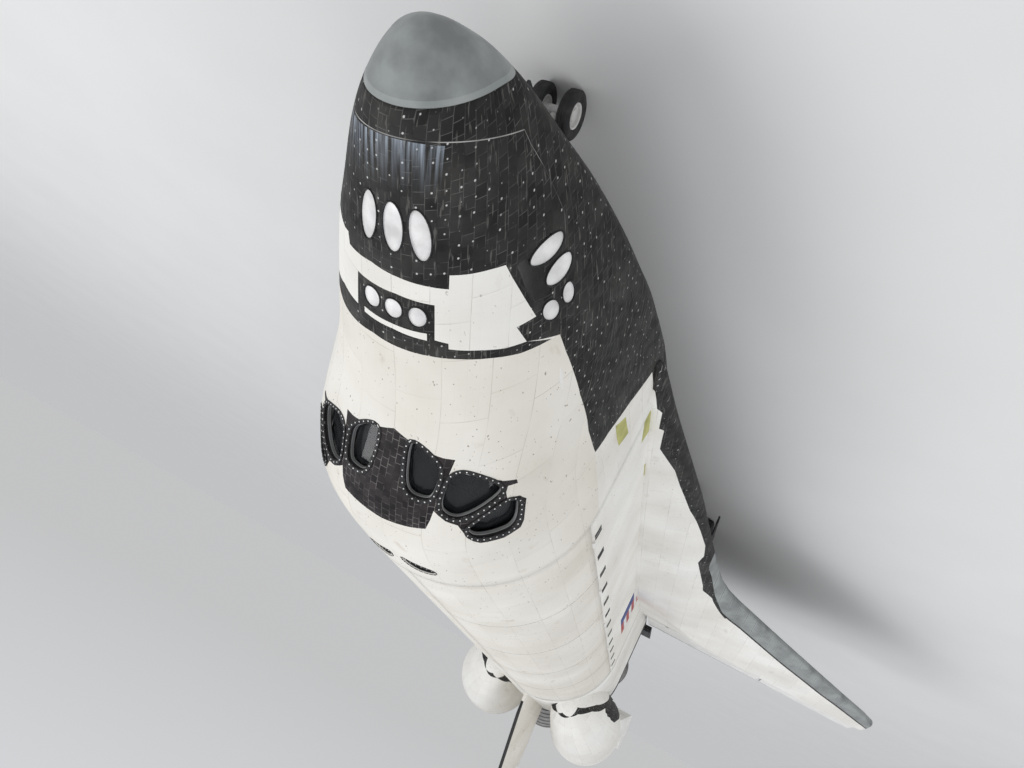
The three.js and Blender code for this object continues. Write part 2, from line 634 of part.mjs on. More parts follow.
// Along the chord from leading edge to hinge: share of the chord, of the rise and of the drop
const PROFILE = [
  [0, 0, 0],
  [0.006, 0.1, 0.3],
  [0.03, 0.22, 0.55],
  [0.1, 0.42, 0.8],
  [0.3, 0.74, 1],
  [0.55, 0.97, 1],
  [0.68, 1, 1],
];
const HINGE_X = 1387;
const ELEVONS = [
  { name: "elevon_inboard", span: [114, 312], lugs: [150, 215, 280] },
  { name: "elevon_outboard", span: [318, 463], lugs: [350, 425] },
];
const hingeZ = (y) => 283.7 + (y - 118) * 0.04783;
const hingeRadius = (y) => (12.5 - (y - 118) * 0.0229) * 25.4;
const hingePoint = (y) => at(inches.aft(HINGE_X), inches.y(y), inches.z(hingeZ(y)));
const WELL = { aft: [19685, 24384], y: [2700, 4250], roof: 880 };

function wingRing([y, edgeX, edgeZ, lowZ, thick], lift) {
  const radius = hingeRadius(y) / 25.4;
  const endX = HINGE_X - 0.5 * radius;
  const x = (share) => edgeX + share * (endX - edgeX);
  const crest = lowZ + thick;
  const [tailLow, tailHigh] = [hingeZ(y) - radius, hingeZ(y) + radius];
  const upper = PROFILE.map(([share, rise]) => [x(share), edgeZ + (crest - edgeZ) * rise]);
  const lower = PROFILE.slice(1).map(([share, , drop]) => [x(share), edgeZ - (edgeZ - lowZ) * drop]);
  upper.push([x(0.85), crest + (tailHigh - crest) * 0.5], [endX, tailHigh]);
  lower.push([x(0.85), (lowZ + tailLow) / 2], [endX, tailLow]);
  const outline = [...upper, ...lower.reverse()];
  return outline.map(([px, pz]) => at(inches.aft(px), inches.y(y), inches.z(pz) + lift));
}

const wingSolid = (lift = 0) => loft(WING.map((station) => wingRing(station, lift)));

// Plan region ahead of a line drawn in from the leading edge, from a station out past the tip
function edgeRegion(width, fromY) {
  const track = WING.filter((r) => r[0] > fromY).map(([y, x]) => [inches.aft(x), inches.y(y)]);
  const start = row(WING, fromY);
  track.unshift([inches.aft(start[1]), inches.y(fromY)]);
  track.push([track[track.length - 1][0] + 1500, track[track.length - 1][1] + 880]);
  const offset = (distance) =>
    track.map(([a, y], i) => {
      const [p, q] = [track[Math.max(i - 1, 0)], track[Math.min(i + 1, track.length - 1)]];
      const length = Math.hypot(q[0] - p[0], q[1] - p[1]);
      return [a + (distance * (q[1] - p[1])) / length, y - (distance * (q[0] - p[0])) / length];
    });
  const outline = [...offset(width), ...offset(-300).reverse()].map(([a, y]) => at(a, y, 0));
  return prism(outline, UP, 3000, 2000);
}

function wings() {
  const hull = [[6000, CABIN_END], [CABIN_END, BAY_END], [BAY_END, BODY_END + SEAT]];
  let wing = wingSolid().subtract(join(hull.map(([a, b]) => body(a, b, -SEAT))));
  const rootY = 95;
  const tipY = WING[WING.length - 1][0] + 4;
  const coveRadius = (y) => hingeRadius(y) + CLEAR + 4;
  wing = wing.subtract(bar(hingePoint(rootY), hingePoint(tipY), coveRadius(rootY), 20, coveRadius(tipY)));
  const edge = wing.intersect(edgeRegion(260, 182));
  wing = wing.subtract(edgeRegion(260 + SEAT, 182 - 0.03));
  wing = wing.subtract(block(WELL.aft, WELL.y, [-300, WELL.roof]));
  for (const { name, span, lugs } of ELEVONS) {
    const rings = span.map((y) => {
      const chord = (1525.2 - 0.17735 * y - HINGE_X) * 25.4;
      return surfaceRing(hingePoint(y), hingeRadius(y), chord, 15);
    });
    let elevon = loft(rings);
    const from = hingePoint(span[0]);
    const way = hingePoint(span[1]).sub(from).normalize();
    for (const y of lugs) {
      const along = hingePoint(y).distanceTo(from);
      const radius = hingeRadius(y) + 4;
      let lug;
      [elevon, lug] = hingeLug(elevon, [from, way], along, 75, radius, radius + 260);
      wing = wing.add(lug);
    }
    placePair(name, elevon, WHITE_TILE);
  }
  placePair("wing", wing, WHITE_TILE);
  placePair("wing_edge", edge, CARBON);
}

// Fin: leading edge, hinge and trailing edge at its foot and tip, in inches, and the half thickness there
const FIN = { foot: [503, 1280, 1446.5, 1548.5, 13], tip: [816, 1595.7, 1663, 1704.2, 5.2] };
const RUDDER = { bottom: 602, top: 797, sector: 127 }; // heights on the hinge line; nose sector in degrees
// The foot of the fin is cut away above the upper engine: aft and up
const SLOPE = [[32180, 5800], [33950, 7400], [35950, 7300], [34180, 4000], [32180, 4000]];

const finRow = (z) => {
  const t = (z - FIN.foot[0]) / (FIN.tip[0] - FIN.foot[0]);
  return FIN.foot.map((value, k) => value + (FIN.tip[k] - value) * t);
};
const rudderPoint = (z) => at(inches.aft(finRow(z)[2]), 0, inches.z(z));
const RUDDER_WAY = rudderPoint(800).sub(rudderPoint(600)).normalize();
const RUDDER_BACK = new THREE.Vector3(-RUDDER_WAY.z, 0, RUDDER_WAY.x);
const rudderRadius = (z) => finRow(z)[4] * 25.4;

// A point given square to the rudder hinge: height on the hinge line, distance back and out
const offHinge = (z, back, y) => rudderPoint(z).addScaledVector(RUDDER_BACK, back).setY(y);

// Distance square to the hinge from the line to the trailing edge
function rudderChord(z) {
  const edge = (h) => at(inches.aft(finRow(h)[3]), 0, inches.z(h));
  const [a, b] = [edge(FIN.foot[0]), edge(FIN.tip[0])];
  const from = rudderPoint(z);
  const along = b.clone().sub(a);
  const cross = (p, q) => p.x * q.z - p.z * q.x;
  return cross(a.clone().sub(from), along) / cross(RUDDER_BACK, along);
}

function fin() {
  const section = (z) => {
    const [, leading, hinge, trailing, half] = finRow(z);
    const [x0, x1, x2] = [leading, hinge, trailing].map(inches.aft);
    const h = half * 25.4;
    const e = 22;
    const outline = [[x0, 0], [x0 + 60, e], [x1, h], [x2, e], [x2, -e], [x1, -h], [x0 + 60, -e]];
    return outline.map(([aft, y]) => at(aft, y, inches.z(z)));
  };
  let shape = loft([section(490), section(FIN.tip[0])]);
  const [r0, r1] = [rudderRadius(RUDDER.bottom), rudderRadius(RUDDER.top)];
  const zone = [RUDDER.bottom, RUDDER.top].map((z, i) => {
    const front = -0.86 * [r0, r1][i];
    return [[front, 900], [4500, 900], [4500, -900], [front, -900]].map(([back, y]) => offHinge(z, back, y));
  });
  shape = shape.subtract(loft(zone));
  const room = CLEAR + 4;
  const line = [rudderPoint(RUDDER.bottom), rudderPoint(RUDDER.top)];
  shape = shape.subtract(bar(...line, r0 + room, 20, r1 + room));
  shape = shape.subtract(prism(SLOPE.map(([aft, z]) => at(aft, 0, z)), ACROSS, 2000, 2000));
  shape = shape.subtract(beyondPlane(inches.aft(1309), 5918, THREE.MathUtils.degToRad(-10), true));
  shape = shape.subtract(body(BAY_END, BODY_END + SEAT, -SEAT));
  shape = shape.subtract(body(BAY_END - 3000, BAY_END, -SEAT));
  place("fin", shape, BLANKET);
}

function rudder() {
  const length = rudderPoint(RUDDER.top).distanceTo(rudderPoint(RUDDER.bottom));
  const heightOf = (t) => RUDDER.bottom + ((RUDDER.top - RUDDER.bottom) * t) / length;
  const point = (t) => rudderPoint(heightOf(t));
  const postRadius = (t) => 0.3 * rudderRadius(heightOf(t));
  const collar = 40;
  const post = join([
    bar(point(SEAT), point(length - CLEAR), postRadius(0), 16, postRadius(length)),
    bar(point(SEAT), point(SEAT + collar), 0.72 * rudderRadius(RUDDER.bottom), 16),
  ]);
  place("rudder_post", post, DARK_METAL);
  const panelRing = (t) => {
    const z = heightOf(t);
    const [outer, inner] = [rudderRadius(z), postRadius(0) + CLEAR + 4];
    const polar = (radius, degrees) => {
      const a = THREE.MathUtils.degToRad(degrees);
      return offHinge(z, radius * Math.cos(a), radius * Math.sin(a));
    };
    const chord = rudderChord(z);
    const s = RUDDER.sector;
    const rim = [s, s - 12, s - 24, 90].map((d) => polar(outer, d));
    const hole = [4, 25, 60, 95, s].map((d) => polar(inner, d));
    return [...rim, offHinge(z, chord, 24), offHinge(z, chord, 3), offHinge(z, inner + 60, 3), ...hole];
  };
  const panel = loft([panelRing(2 * SEAT + collar), panelRing(length - CLEAR)]);
  placePair("speed_brake", panel, WHITE_TILE);
}

// Pod sections in inches: aft, centre out, centre up, half width, half height
const POD = [
  [1311, 66, 478, 13, 18],
  [1330, 70, 481, 26, 32],
  [1350, 75, 485, 38, 44],
  [1400, 84, 489, 50, 56],
  [1450, 88, 491, 57, 62],
  [1505, 88, 492, 60, 64],
];
const THRUSTER_BOX = { aft: [31200, 33600], y: [3050, 3850], z: [4340, 5840] };

function pods() {
  const STEPS = 20;
  const rings = POD.map(([x, y, z, ry, rz]) =>
    Array.from({ length: STEPS }, (_, i) => {
      const t = (i / STEPS) * 2 * Math.PI;
      return at(inches.aft(x), inches.y(y + ry * Math.cos(t)), inches.z(z + rz * Math.sin(t)));
    }),
  );
  const { aft, y: [inner, outer], z: [low, high] } = THRUSTER_BOX;
  // distance aft, and how far the sides and the floor and roof are drawn in there
  const boxEnds = [[aft[0], 350, 500], [aft[0] + 700, 0, 0], [aft[1], 0, 60]];
  const box = boxEnds.map(([a, side, rise]) =>
    [[inner, low + rise], [outer - side, low + rise], [outer - side, high - rise], [inner, high - rise]].map(
      ([y, z]) => at(a, y, z),
    ),
  );
  let pod = loft(rings).add(loft(box));
  pod = pod.add(engineMount(ENGINES.pod, 1, 700, 100));
  pod = pod.subtract(body(BAY_END, BODY_END + SEAT, -SEAT));
  pod = pod.subtract(beyondPlane(BAY_END + CLEAR, 0, 0, true));
  placePair("oms_pod", pod, BLANKET);
}

// Landing gear

// Twin rims on one axle, as a profile about the axle
function twinWheel({ spread, rim, width }, axle, flange, housingHalf) {
  const half = width * 0.36;
  const foot = housingHalf + SEAT;
  const port = [[foot, axle], [foot, flange], [spread - half, flange], [spread - half, rim],
    [spread + half, rim], [spread + half, 0]];
  const starboard = port.map(([t, r]) => [-t, r]).reverse();
  return [...starboard, ...port];
}

function tyre({ radius, width, rim }) {
  const half = width / 2;
  const wall = radius - rim;
  const tread = radius / Math.cos(Math.PI / SEGMENTS);
  const side = [[0.7 * half, rim + SEAT], [half, rim + 0.32 * wall], [0.95 * half, rim + 0.75 * wall],
    [0.6 * half, tread]];
  return [...side, ...side.map(([t, r]) => [-t, r]).reverse()];
}

// Wheels have a flat of their tread square to the ground
const SEGMENTS = 16;
const TREAD_ANGLE = Math.PI / SEGMENTS - PITCH;
const wheelOf = (profile, centre) => turned(profile, centre, ACROSS, SEGMENTS, TREAD_ANGLE);

function noseGear() {
  const axle = at(NOSE_AXLE_AFT, 0, NOSE_AXLE_Z);
  const strut = (z) => at(NOSE_AXLE_AFT + 30, 0, z);
  const joint = -360;
  const roof = NOSE_WELL.roof - SEAT;
  const wall = NOSE_WELL.half - SEAT;
  const leg = join([
    bar(strut(1000), strut(joint), 95, 14),
    bar(strut(980).setY(-wall), strut(980).setY(wall), 70, 10),
    bar(at(2350, 0, 1150), strut(120), 55, 8),
    block([2250, 2450], [-150, 150], [1080, roof]),
  ]);
  place("nose_gear_leg", leg, METAL);
  const housing = 120;
  let fork = join([
    bar(strut(joint - SEAT), strut(joint - 80), 105, 14),
    bar(strut(joint - 70), strut(NOSE_AXLE_Z), 72, 14),
    bar(axle.clone().setY(-housing), axle.clone().setY(housing), 88, 16),
  ]);
  const boreEnd = (y) => axle.clone().setY(y);
  fork = fork.subtract(bar(boreEnd(-housing - 50), boreEnd(housing + 50), 50 + CLEAR, 14));
  place("nose_gear_fork", fork, METAL);
  place("nose_wheels", wheelOf(twinWheel(NOSE_TYRE, 50, 80, housing), axle), METAL);
  placePair("nose_tyre", wheelOf(tyre(NOSE_TYRE), axle.clone().setY(NOSE_TYRE.spread)), RUBBER);
  const stations = [1730, 1820, 2600, 3260, 3830];
  const top = stations.map((aft) => at(aft, 0, row(FUSELAGE, aft)[1] - SEAT));
  const foot = stations.map((aft) => at(aft, 0, row(FUSELAGE, aft)[1] - 400)).reverse();
  const door = prism([...top, ...foot], ACROSS, NOSE_WELL.half + 45, -NOSE_WELL.half);
  placePair("nose_gear_door", door, BLACK_TILE);
}

function mainGear() {
  const axle = at(MAIN_AXLE_AFT, MAIN_LEG_Y, MAIN_AXLE_Z);
  const pivot = at(MAIN_AXLE_AFT - 150, MAIN_LEG_Y, 560);
  const housing = 150;
  let leg = join([
    bar(pivot, axle.clone().lerp(pivot, 0.42), 150, 14),
    bar(axle.clone().lerp(pivot, 0.45), axle, 105, 14),
    bar(pivot.clone().setY(WELL.y[0] + SEAT), pivot.clone().setY(WELL.y[1] - SEAT), 95, 10),
    bar(at(21700, MAIN_LEG_Y, 760), axle.clone().lerp(pivot, 0.6), 80, 8),
    block([21580, 21820], [MAIN_LEG_Y - 200, MAIN_LEG_Y + 200], [680, WELL.roof - SEAT]),
    bar(axle.clone().setY(MAIN_LEG_Y - housing), axle.clone().setY(MAIN_LEG_Y + housing), 125, 16),
  ]);
  const bore = (y) => axle.clone().setY(MAIN_LEG_Y + y);
  leg = leg.subtract(bar(bore(-housing - 50), bore(housing + 50), 62 + CLEAR, 14));
  placePair("main_gear_leg", leg, METAL);
  placePair("main_wheels", wheelOf(twinWheel(MAIN_TYRE, 62, 95, housing), axle), METAL);
  for (const [where, sign] of [["outer", 1], ["inner", -1]]) {
    const centre = axle.clone().setY(MAIN_LEG_Y + sign * MAIN_TYRE.spread);
    placePair(`main_tyre_${where}`, wheelOf(tyre(MAIN_TYRE), centre), RUBBER);
  }
  const [a0, a1] = WELL.aft;
  const panel = block([a0 + 15, a1 - 15], [WELL.y[1], WELL.y[1] + 60], [-1480, 160]);
  const door = panel.subtract(wingSolid(-SEAT));
  placePair("main_gear_door", door, BLACK_TILE);
}

const STANCE_HEIGHT =
  MAIN_TYRE.radius - MAIN_AXLE_AFT * Math.sin(PITCH) - MAIN_AXLE_Z * Math.cos(PITCH);

nose();
place("forward_fuselage_lower", forwardFuselage(), WHITE_TILE);
cabinFittings();
place("mid_fuselage", midFuselage(), WHITE_TILE);
place("aft_fuselage", aftFuselage(), WHITE_TILE);
bellyDoors();
engines();
bodyFlap();
wings();
fin();
rudder();
pods();
noseGear();
mainGear();

stance.rotation.y = PITCH;
stance.position.set(18150, 0, STANCE_HEIGHT);
const orbiter = new THREE.Group();
orbiter.add(stance);
export default orbiter;
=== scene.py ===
"""A winged space orbiter standing on its wheels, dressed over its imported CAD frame."""

import bisect
import json
import logging
import math
from dataclasses import dataclass
from enum import Enum
from typing import Callable, Sequence

import bmesh
import bpy
from bmesh.types import BMFace, BMesh, BMVert
from mathutils import Matrix, Vector
from mathutils.bvhtree import BVHTree


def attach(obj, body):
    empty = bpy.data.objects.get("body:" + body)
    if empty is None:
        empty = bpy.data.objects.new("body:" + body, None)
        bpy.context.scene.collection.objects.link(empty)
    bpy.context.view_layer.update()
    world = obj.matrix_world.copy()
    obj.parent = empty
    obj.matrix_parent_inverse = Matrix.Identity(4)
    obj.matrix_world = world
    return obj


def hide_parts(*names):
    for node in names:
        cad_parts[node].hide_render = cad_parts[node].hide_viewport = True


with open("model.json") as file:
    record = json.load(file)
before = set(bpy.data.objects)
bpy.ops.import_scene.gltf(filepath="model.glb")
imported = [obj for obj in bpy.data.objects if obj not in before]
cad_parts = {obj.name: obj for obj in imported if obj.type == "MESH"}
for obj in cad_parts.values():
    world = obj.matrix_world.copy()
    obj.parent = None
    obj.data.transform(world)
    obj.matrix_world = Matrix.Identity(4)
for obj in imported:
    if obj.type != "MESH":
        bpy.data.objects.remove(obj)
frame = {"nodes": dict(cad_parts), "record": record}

log = logging.getLogger("orbiter")

Outline = Sequence[tuple[float, float]]

MM = 0.001
PITCH = math.radians(3.5)
STANCE_X = 18150.0
STANCE_HEIGHT = 565.0 - 23800.0 * math.sin(PITCH) + 2050.0 * math.cos(PITCH)
STANCE = (
    Matrix.Translation((STANCE_X * MM, 0.0, STANCE_HEIGHT * MM))
    @ Matrix.Rotation(PITCH, 4, "Y")
    @ Matrix.Scale(MM, 4)
)
INCH = 25.4
# station of the nose tip and height of the flat belly in the published inches
NOSE_STATION = 235
BELLY_HEIGHT = 270


def at(aft: float, y: float, z: float) -> Vector:
    """A place given in millimetres aft of the nose tip, to port and up from the flat belly."""
    return Vector((-aft, y, z))


def plane_of(a: Vector, b: Vector, c: Vector, inset: float = 0.0) -> tuple[float, float, float, float]:
    """A plane through three places, as a normal in the row's frame and its distance in metres.

    Args:
        a: A place on the plane.
        b: A second place.
        c: A third place; the normal stands by the right hand on the turn from b to c about a.
        inset: Distance in millimetres that the plane is drawn back against its normal.

    Returns:
        The normal's three parts and the plane's distance from the origin.
    """
    turn = Matrix.Rotation(PITCH, 3, "Y")
    normal = (turn @ (b - a).cross(c - a)).normalized()
    return normal.x, normal.y, normal.z, (STANCE @ a).dot(normal) - inset * MM


class SmoothTable:
    """Rows of sizes with a rising first column, read between by a curve that never overshoots."""

    def __init__(self, rows: Sequence[Sequence[float]], rooted: bool = False) -> None:
        """Works out the slopes at each row.

        Args:
            rows: The table; its first column is the key.
            rooted: Whether the curve is drawn over the square root of the key, for a blunt end.
        """
        self.rooted = rooted
        self.keys = [self._key(r[0]) for r in rows]
        self.rows = [list(r[1:]) for r in rows]
        self.slopes = [self._column(k) for k in range(len(self.rows[0]))]
        self.kept: dict[float, list[float]] = {}

    def _key(self, value: float) -> float:
        """The place on the key axis of a value of the first column."""
        return math.sqrt(max(value, 0.0)) if self.rooted else value

    def _column(self, column: int) -> list[float]:
        """The slopes of one column at every row."""
        count = len(self.keys)
        steps = [self.keys[i + 1] - self.keys[i] for i in range(count - 1)]
        rises = [(self.rows[i + 1][column] - self.rows[i][column]) / steps[i] for i in range(count - 1)]
        slopes = [rises[0]]
        for i in range(1, count - 1):
            before, after = rises[i - 1], rises[i]
            if before * after <= 0:
                slopes.append(0.0)
                continue
            w0, w1 = 2 * steps[i] + steps[i - 1], steps[i] + 2 * steps[i - 1]
            slopes.append((w0 + w1) / (w0 / before + w1 / after))
        return [*slopes, rises[-1]]

    def __call__(self, value: float) -> list[float]:
        """The sizes at a value of the first column."""
        if value in self.kept:
            return self.kept[value]
        key = min(max(self._key(value), self.keys[0]), self.keys[-1])
        i = min(max(bisect.bisect_right(self.keys, key) - 1, 0), len(self.keys) - 2)
        step = self.keys[i + 1] - self.keys[i]
        t = (key - self.keys[i]) / step
        h00, h10 = (1 + 2 * t) * (1 - t) ** 2, t * (1 - t) ** 2
        h01, h11 = t * t * (3 - 2 * t), t * t * (t - 1)
        low, high = self.rows[i], self.rows[i + 1]
        found = [
            h00 * low[k] + h10 * step * self.slopes[k][i] + h01 * high[k] + h11 * step * self.slopes[k][i + 1]
            for k in range(len(low))
        ]
        self.kept[value] = found
        return found


class StraightTable:
    """Rows of sizes with a rising first column, read between by straight lines."""

    def __init__(self, rows: Sequence[Sequence[float]]) -> None:
        """Keeps the rows."""
        self.rows = rows
        self.keys = [r[0] for r in rows]

    def __call__(self, value: float) -> list[float]:
        """The sizes at a value of the first column."""
        i = min(max(bisect.bisect_right(self.keys, value) - 1, 0), len(self.keys) - 2)
        low, high = self.rows[i], self.rows[i + 1]
        share = (value - low[0]) / (high[0] - low[0])
        return [a + (b - a) * share for a, b in zip(low[1:], high[1:])]


class HullForm:
    """The fuselage surface: smooth sections placed by a distance aft and a turn round the section.

    The turn runs from 0 at the middle of the belly over 1 (edge of the flat), 2 (foot of the side),
    3 (head of the side) and 4 (middle of the crown) on the port side, and back to 8 on the other.
    """

    # aft, bottom, top, half width, side head, side foot, half width of the flat, crown power
    SECTIONS = (
        (0, 1610, 1701, 50, 1651, 1645, 10, 2),
        (40, 1480, 1865, 205, 1651, 1640, 20, 2),
        (130, 1360, 2045, 366, 1651, 1600, 30, 2),
        (300, 1220, 2273, 555, 1651, 1560, 60, 2),
        (620, 1025, 2616, 800, 1651, 1460, 110, 2),
        (1140, 880, 2883, 1105, 1640, 1330, 220, 2),
        (1820, 740, 3188, 1397, 1640, 1220, 380, 2),
        (2600, 590, 3543, 1715, 1640, 1090, 680, 2),
        (3260, 480, 3835, 1910, 1650, 980, 950, 2),
        (4200, 350, 4230, 2146, 1700, 840, 1300, 2),
        (4880, 265, 4615, 2270, 1780, 730, 1572, 2.05),
        (5150, 228, 4850, 2325, 1830, 687, 1680, 2.1),
        (5600, 180, 5275, 2400, 1950, 620, 1850, 2.25),
        (5950, 150, 5520, 2440, 2110, 573, 1955, 2.4),
        (6400, 115, 5725, 2490, 2380, 517, 2087, 2.4),
        (7000, 75, 5845, 2550, 2740, 443, 2250, 2.25),
        (7600, 35, 5895, 2590, 3000, 360, 2400, 2.1),
        (8660, 0, 5918, 2640, 3302, 260, 2480, 2),
        (13000, 0, 5918, 2640, 3302, 90, 2580, 2),
        (27230, 0, 5918, 2640, 3302, 90, 2580, 2),
        (30200, 120, 5910, 2700, 3302, 210, 2600, 2.1),
        (32150, 290, 5890, 2750, 3302, 380, 2600, 2.2),
    )
    # working lengths that the belly, corner, side and crown get in the flat sheet
    SHARES = (12.0, 14.0, 18.0, 40.0)
    HALF_TURN = sum(SHARES)

    def __init__(self) -> None:
        """Prepares the smooth sections and the girth lengths."""
        self.table = SmoothTable(self.SECTIONS, rooted=True)
        self.lengths = self._lengths()

    def _lengths(self) -> SmoothTable:
        """The length along the skin from the tip for a distance aft."""
        places = [40 * i for i in range(20)] + [800 + 200 * i for i in range(160)]
        rows, total, last = [], 0.0, None
        for aft in places:
            half = self.table(aft)[2]
            if last is not None:
                total += math.hypot(aft - last[0], half - last[1])
            rows.append((aft, total))
            last = (aft, half)
        return SmoothTable(rows)

    def point(self, aft: float, turn: float, lift: float = 0.0) -> Vector:
        """A place on the skin, or lifted off it."""
        bottom, top, half, head, foot, flat, power = self.table(aft)
        bottom, top, half = bottom - lift, top + lift, half + lift
        foot = max(foot, bottom + 5)
        turn %= 8.0
        side = 1.0 if turn <= 4.0 else -1.0
        turn = min(turn, 8.0 - turn)
        if turn <= 1.0:
            y, z = flat * turn, bottom
        elif turn <= 2.0:
            angle = (turn - 1.0) * math.pi / 2
            y = flat + (half - flat) * math.sin(angle)
            z = foot - (foot - bottom) * math.cos(angle)
        elif turn <= 3.0:
            y, z = half, foot + (head - foot) * (turn - 2.0)
        else:
            angle = (turn - 3.0) * math.pi / 2
            y = half * max(math.cos(angle), 0.0) ** (2 / power)
            z = head + (top - head) * math.sin(angle) ** (2 / power)
        return at(aft, side * y, z)

    def crown_z(self, aft: float, y: float) -> float:
        """Height of the crown's skin over a place."""
        _, top, half, head, _, _, power = self.table(aft)
        share = min(abs(y) / half, 1.0)
        return head + (top - head) * (1 - share**power) ** (1 / power)

    def turn_at(self, aft: float, y: float, z: float) -> float:
        """The turn of the skin place nearest in its section to a point."""
        bottom, top, half, head, foot, flat, power = self.table(aft)
        if z >= head:
            rise = (z - head) / (top - head)
            turn = 3 + math.atan2(rise ** (power / 2), (abs(y) / half) ** (power / 2)) * 2 / math.pi
        elif z >= foot:
            turn = 2 + (z - foot) / (head - foot)
        elif abs(y) > flat:
            turn = 1 + math.atan2((abs(y) - flat) / (half - flat), (foot - z) / (foot - bottom)) * 2 / math.pi
        else:
            turn = abs(y) / flat
        return turn if y >= 0 else 8 - turn

    @classmethod
    def flat_turn(cls, turn: float) -> float:
        """The sheet coordinate of a turn, which may run past 8 or below 0."""
        rounds, turn = divmod(turn, 8.0)
        half = min(turn, 8.0 - turn)
        length = sum(share * min(max(half - i, 0.0), 1.0) for i, share in enumerate(cls.SHARES))
        return rounds * 2 * cls.HALF_TURN + (length if turn <= 4.0 else 2 * cls.HALF_TURN - length)

    @classmethod
    def turn_of(cls, flat: float) -> float:
        """The turn of a sheet coordinate."""
        rounds, flat = divmod(flat, 2 * cls.HALF_TURN)
        half, turn = min(flat, 2 * cls.HALF_TURN - flat), 0.0
        for share in cls.SHARES:
            turn += min(half / share, 1.0)
            half -= min(half, share)
        return rounds * 8.0 + (turn if flat <= cls.HALF_TURN else 8.0 - turn)

    def flat(self, aft: float, turn: float) -> tuple[float, float]:
        """Sheet coordinates of a skin place."""
        return math.sqrt(max(aft, 0.0)), self.flat_turn(turn)

    def on_crown(self, outline: Outline) -> list[tuple[float, float]]:
        """Sheet coordinates of an outline given aft and to port over the crown."""
        return [self.flat(aft, self.turn_at(aft, y, self.crown_z(aft, y))) for aft, y in outline]

    def side_turn(self, aft: float, z: float) -> float:
        """The turn of the port skin at a height."""
        bottom, top, _, head, foot, _, power = self.table(aft)
        if z >= head:
            rise = min((z - head) / (top - head), 1.0)
            return 3 + math.asin(rise ** (power / 2)) * 2 / math.pi
        if z >= foot:
            return 2 + (z - foot) / (head - foot)
        return 1 + math.acos(min((foot - z) / (foot - bottom), 1.0)) * 2 / math.pi

    def on_side(self, outline: Outline, side: int) -> list[tuple[float, float]]:
        """Sheet coordinates of an outline given aft and up on one side."""
        turns = [(aft, self.side_turn(aft, z)) for aft, z in outline]
        return [self.flat(aft, turn if side > 0 else 8.0 - turn) for aft, turn in turns]

    def on_skin(self, outline: Sequence[tuple[float, float, float]]) -> list[tuple[float, float]]:
        """Sheet coordinates of places near the skin, given aft, to port and up."""
        return [self.flat(aft, self.turn_at(aft, y, z)) for aft, y, z in outline]

    @classmethod
    def other_side(cls, outline: Outline) -> list[tuple[float, float]]:
        """The sheet outline that mirrors one across the middle of the crown."""
        return [(x, 2 * cls.HALF_TURN - y) for x, y in outline]

    def on_belly(self, outline: Outline) -> list[tuple[float, float]]:
        """Sheet coordinates of an outline given aft and to port under the flat belly."""
        found = []
        for aft, y in outline:
            flat = self.table(aft)[5]
            turn = y / flat if abs(y) <= flat else math.copysign(self.turn_at(aft, abs(y), -10.0), y)
            found.append((math.sqrt(aft), self.flat_turn(turn % 8.0)))
        return found


HULL = HullForm()
# the turn up to which the black of the belly reaches
BELLY_TURN = 1.62


def rounded(outline: Outline, rounds: int = 2) -> list[tuple[float, float]]:
    """An outline with its corners cut to a curve."""
    points = list(outline)
    for _ in range(rounds):
        cut = []
        for (x0, y0), (x1, y1) in zip(points, [*points[1:], points[0]]):
            cut.append((0.75 * x0 + 0.25 * x1, 0.75 * y0 + 0.25 * y1))
            cut.append((0.25 * x0 + 0.75 * x1, 0.25 * y0 + 0.75 * y1))
        points = cut
    return points


def oval(
    centre: tuple[float, float], along: tuple[float, float], across: tuple[float, float], count: int = 32,
    grow: float = 1.0,
) -> list[tuple[float, float]]:
    """An oval given by its centre and two paired half diameters."""
    found = []
    for i in range(count):
        angle = 2 * math.pi * i / count
        c, d = grow * math.cos(angle), grow * math.sin(angle)
        found.append((centre[0] + along[0] * c + across[0] * d, centre[1] + along[1] * c + across[1] * d))
    return found


def strips(path: Outline, width: float) -> list[list[tuple[float, float]]]:
    """Narrow four-cornered outlines that follow a path."""
    found = []
    for (x0, y0), (x1, y1) in zip(path, path[1:]):
        length = math.hypot(x1 - x0, y1 - y0)
        dx, dy = (x1 - x0) / length * width / 2, (y1 - y0) / length * width / 2
        found.append([(x0 - dx - dy, y0 - dy + dx), (x1 + dx - dy, y1 + dy + dx), (x1 + dx + dy, y1 + dy - dx),
                      (x0 - dx + dy, y0 - dy - dx)])
    return found


class Chart(Enum):
    """What a pattern follows: the piece's own map, or its place seen from above or from the side."""

    SKIN = "skin"
    PLAN = "plan"
    SIDE = "side"


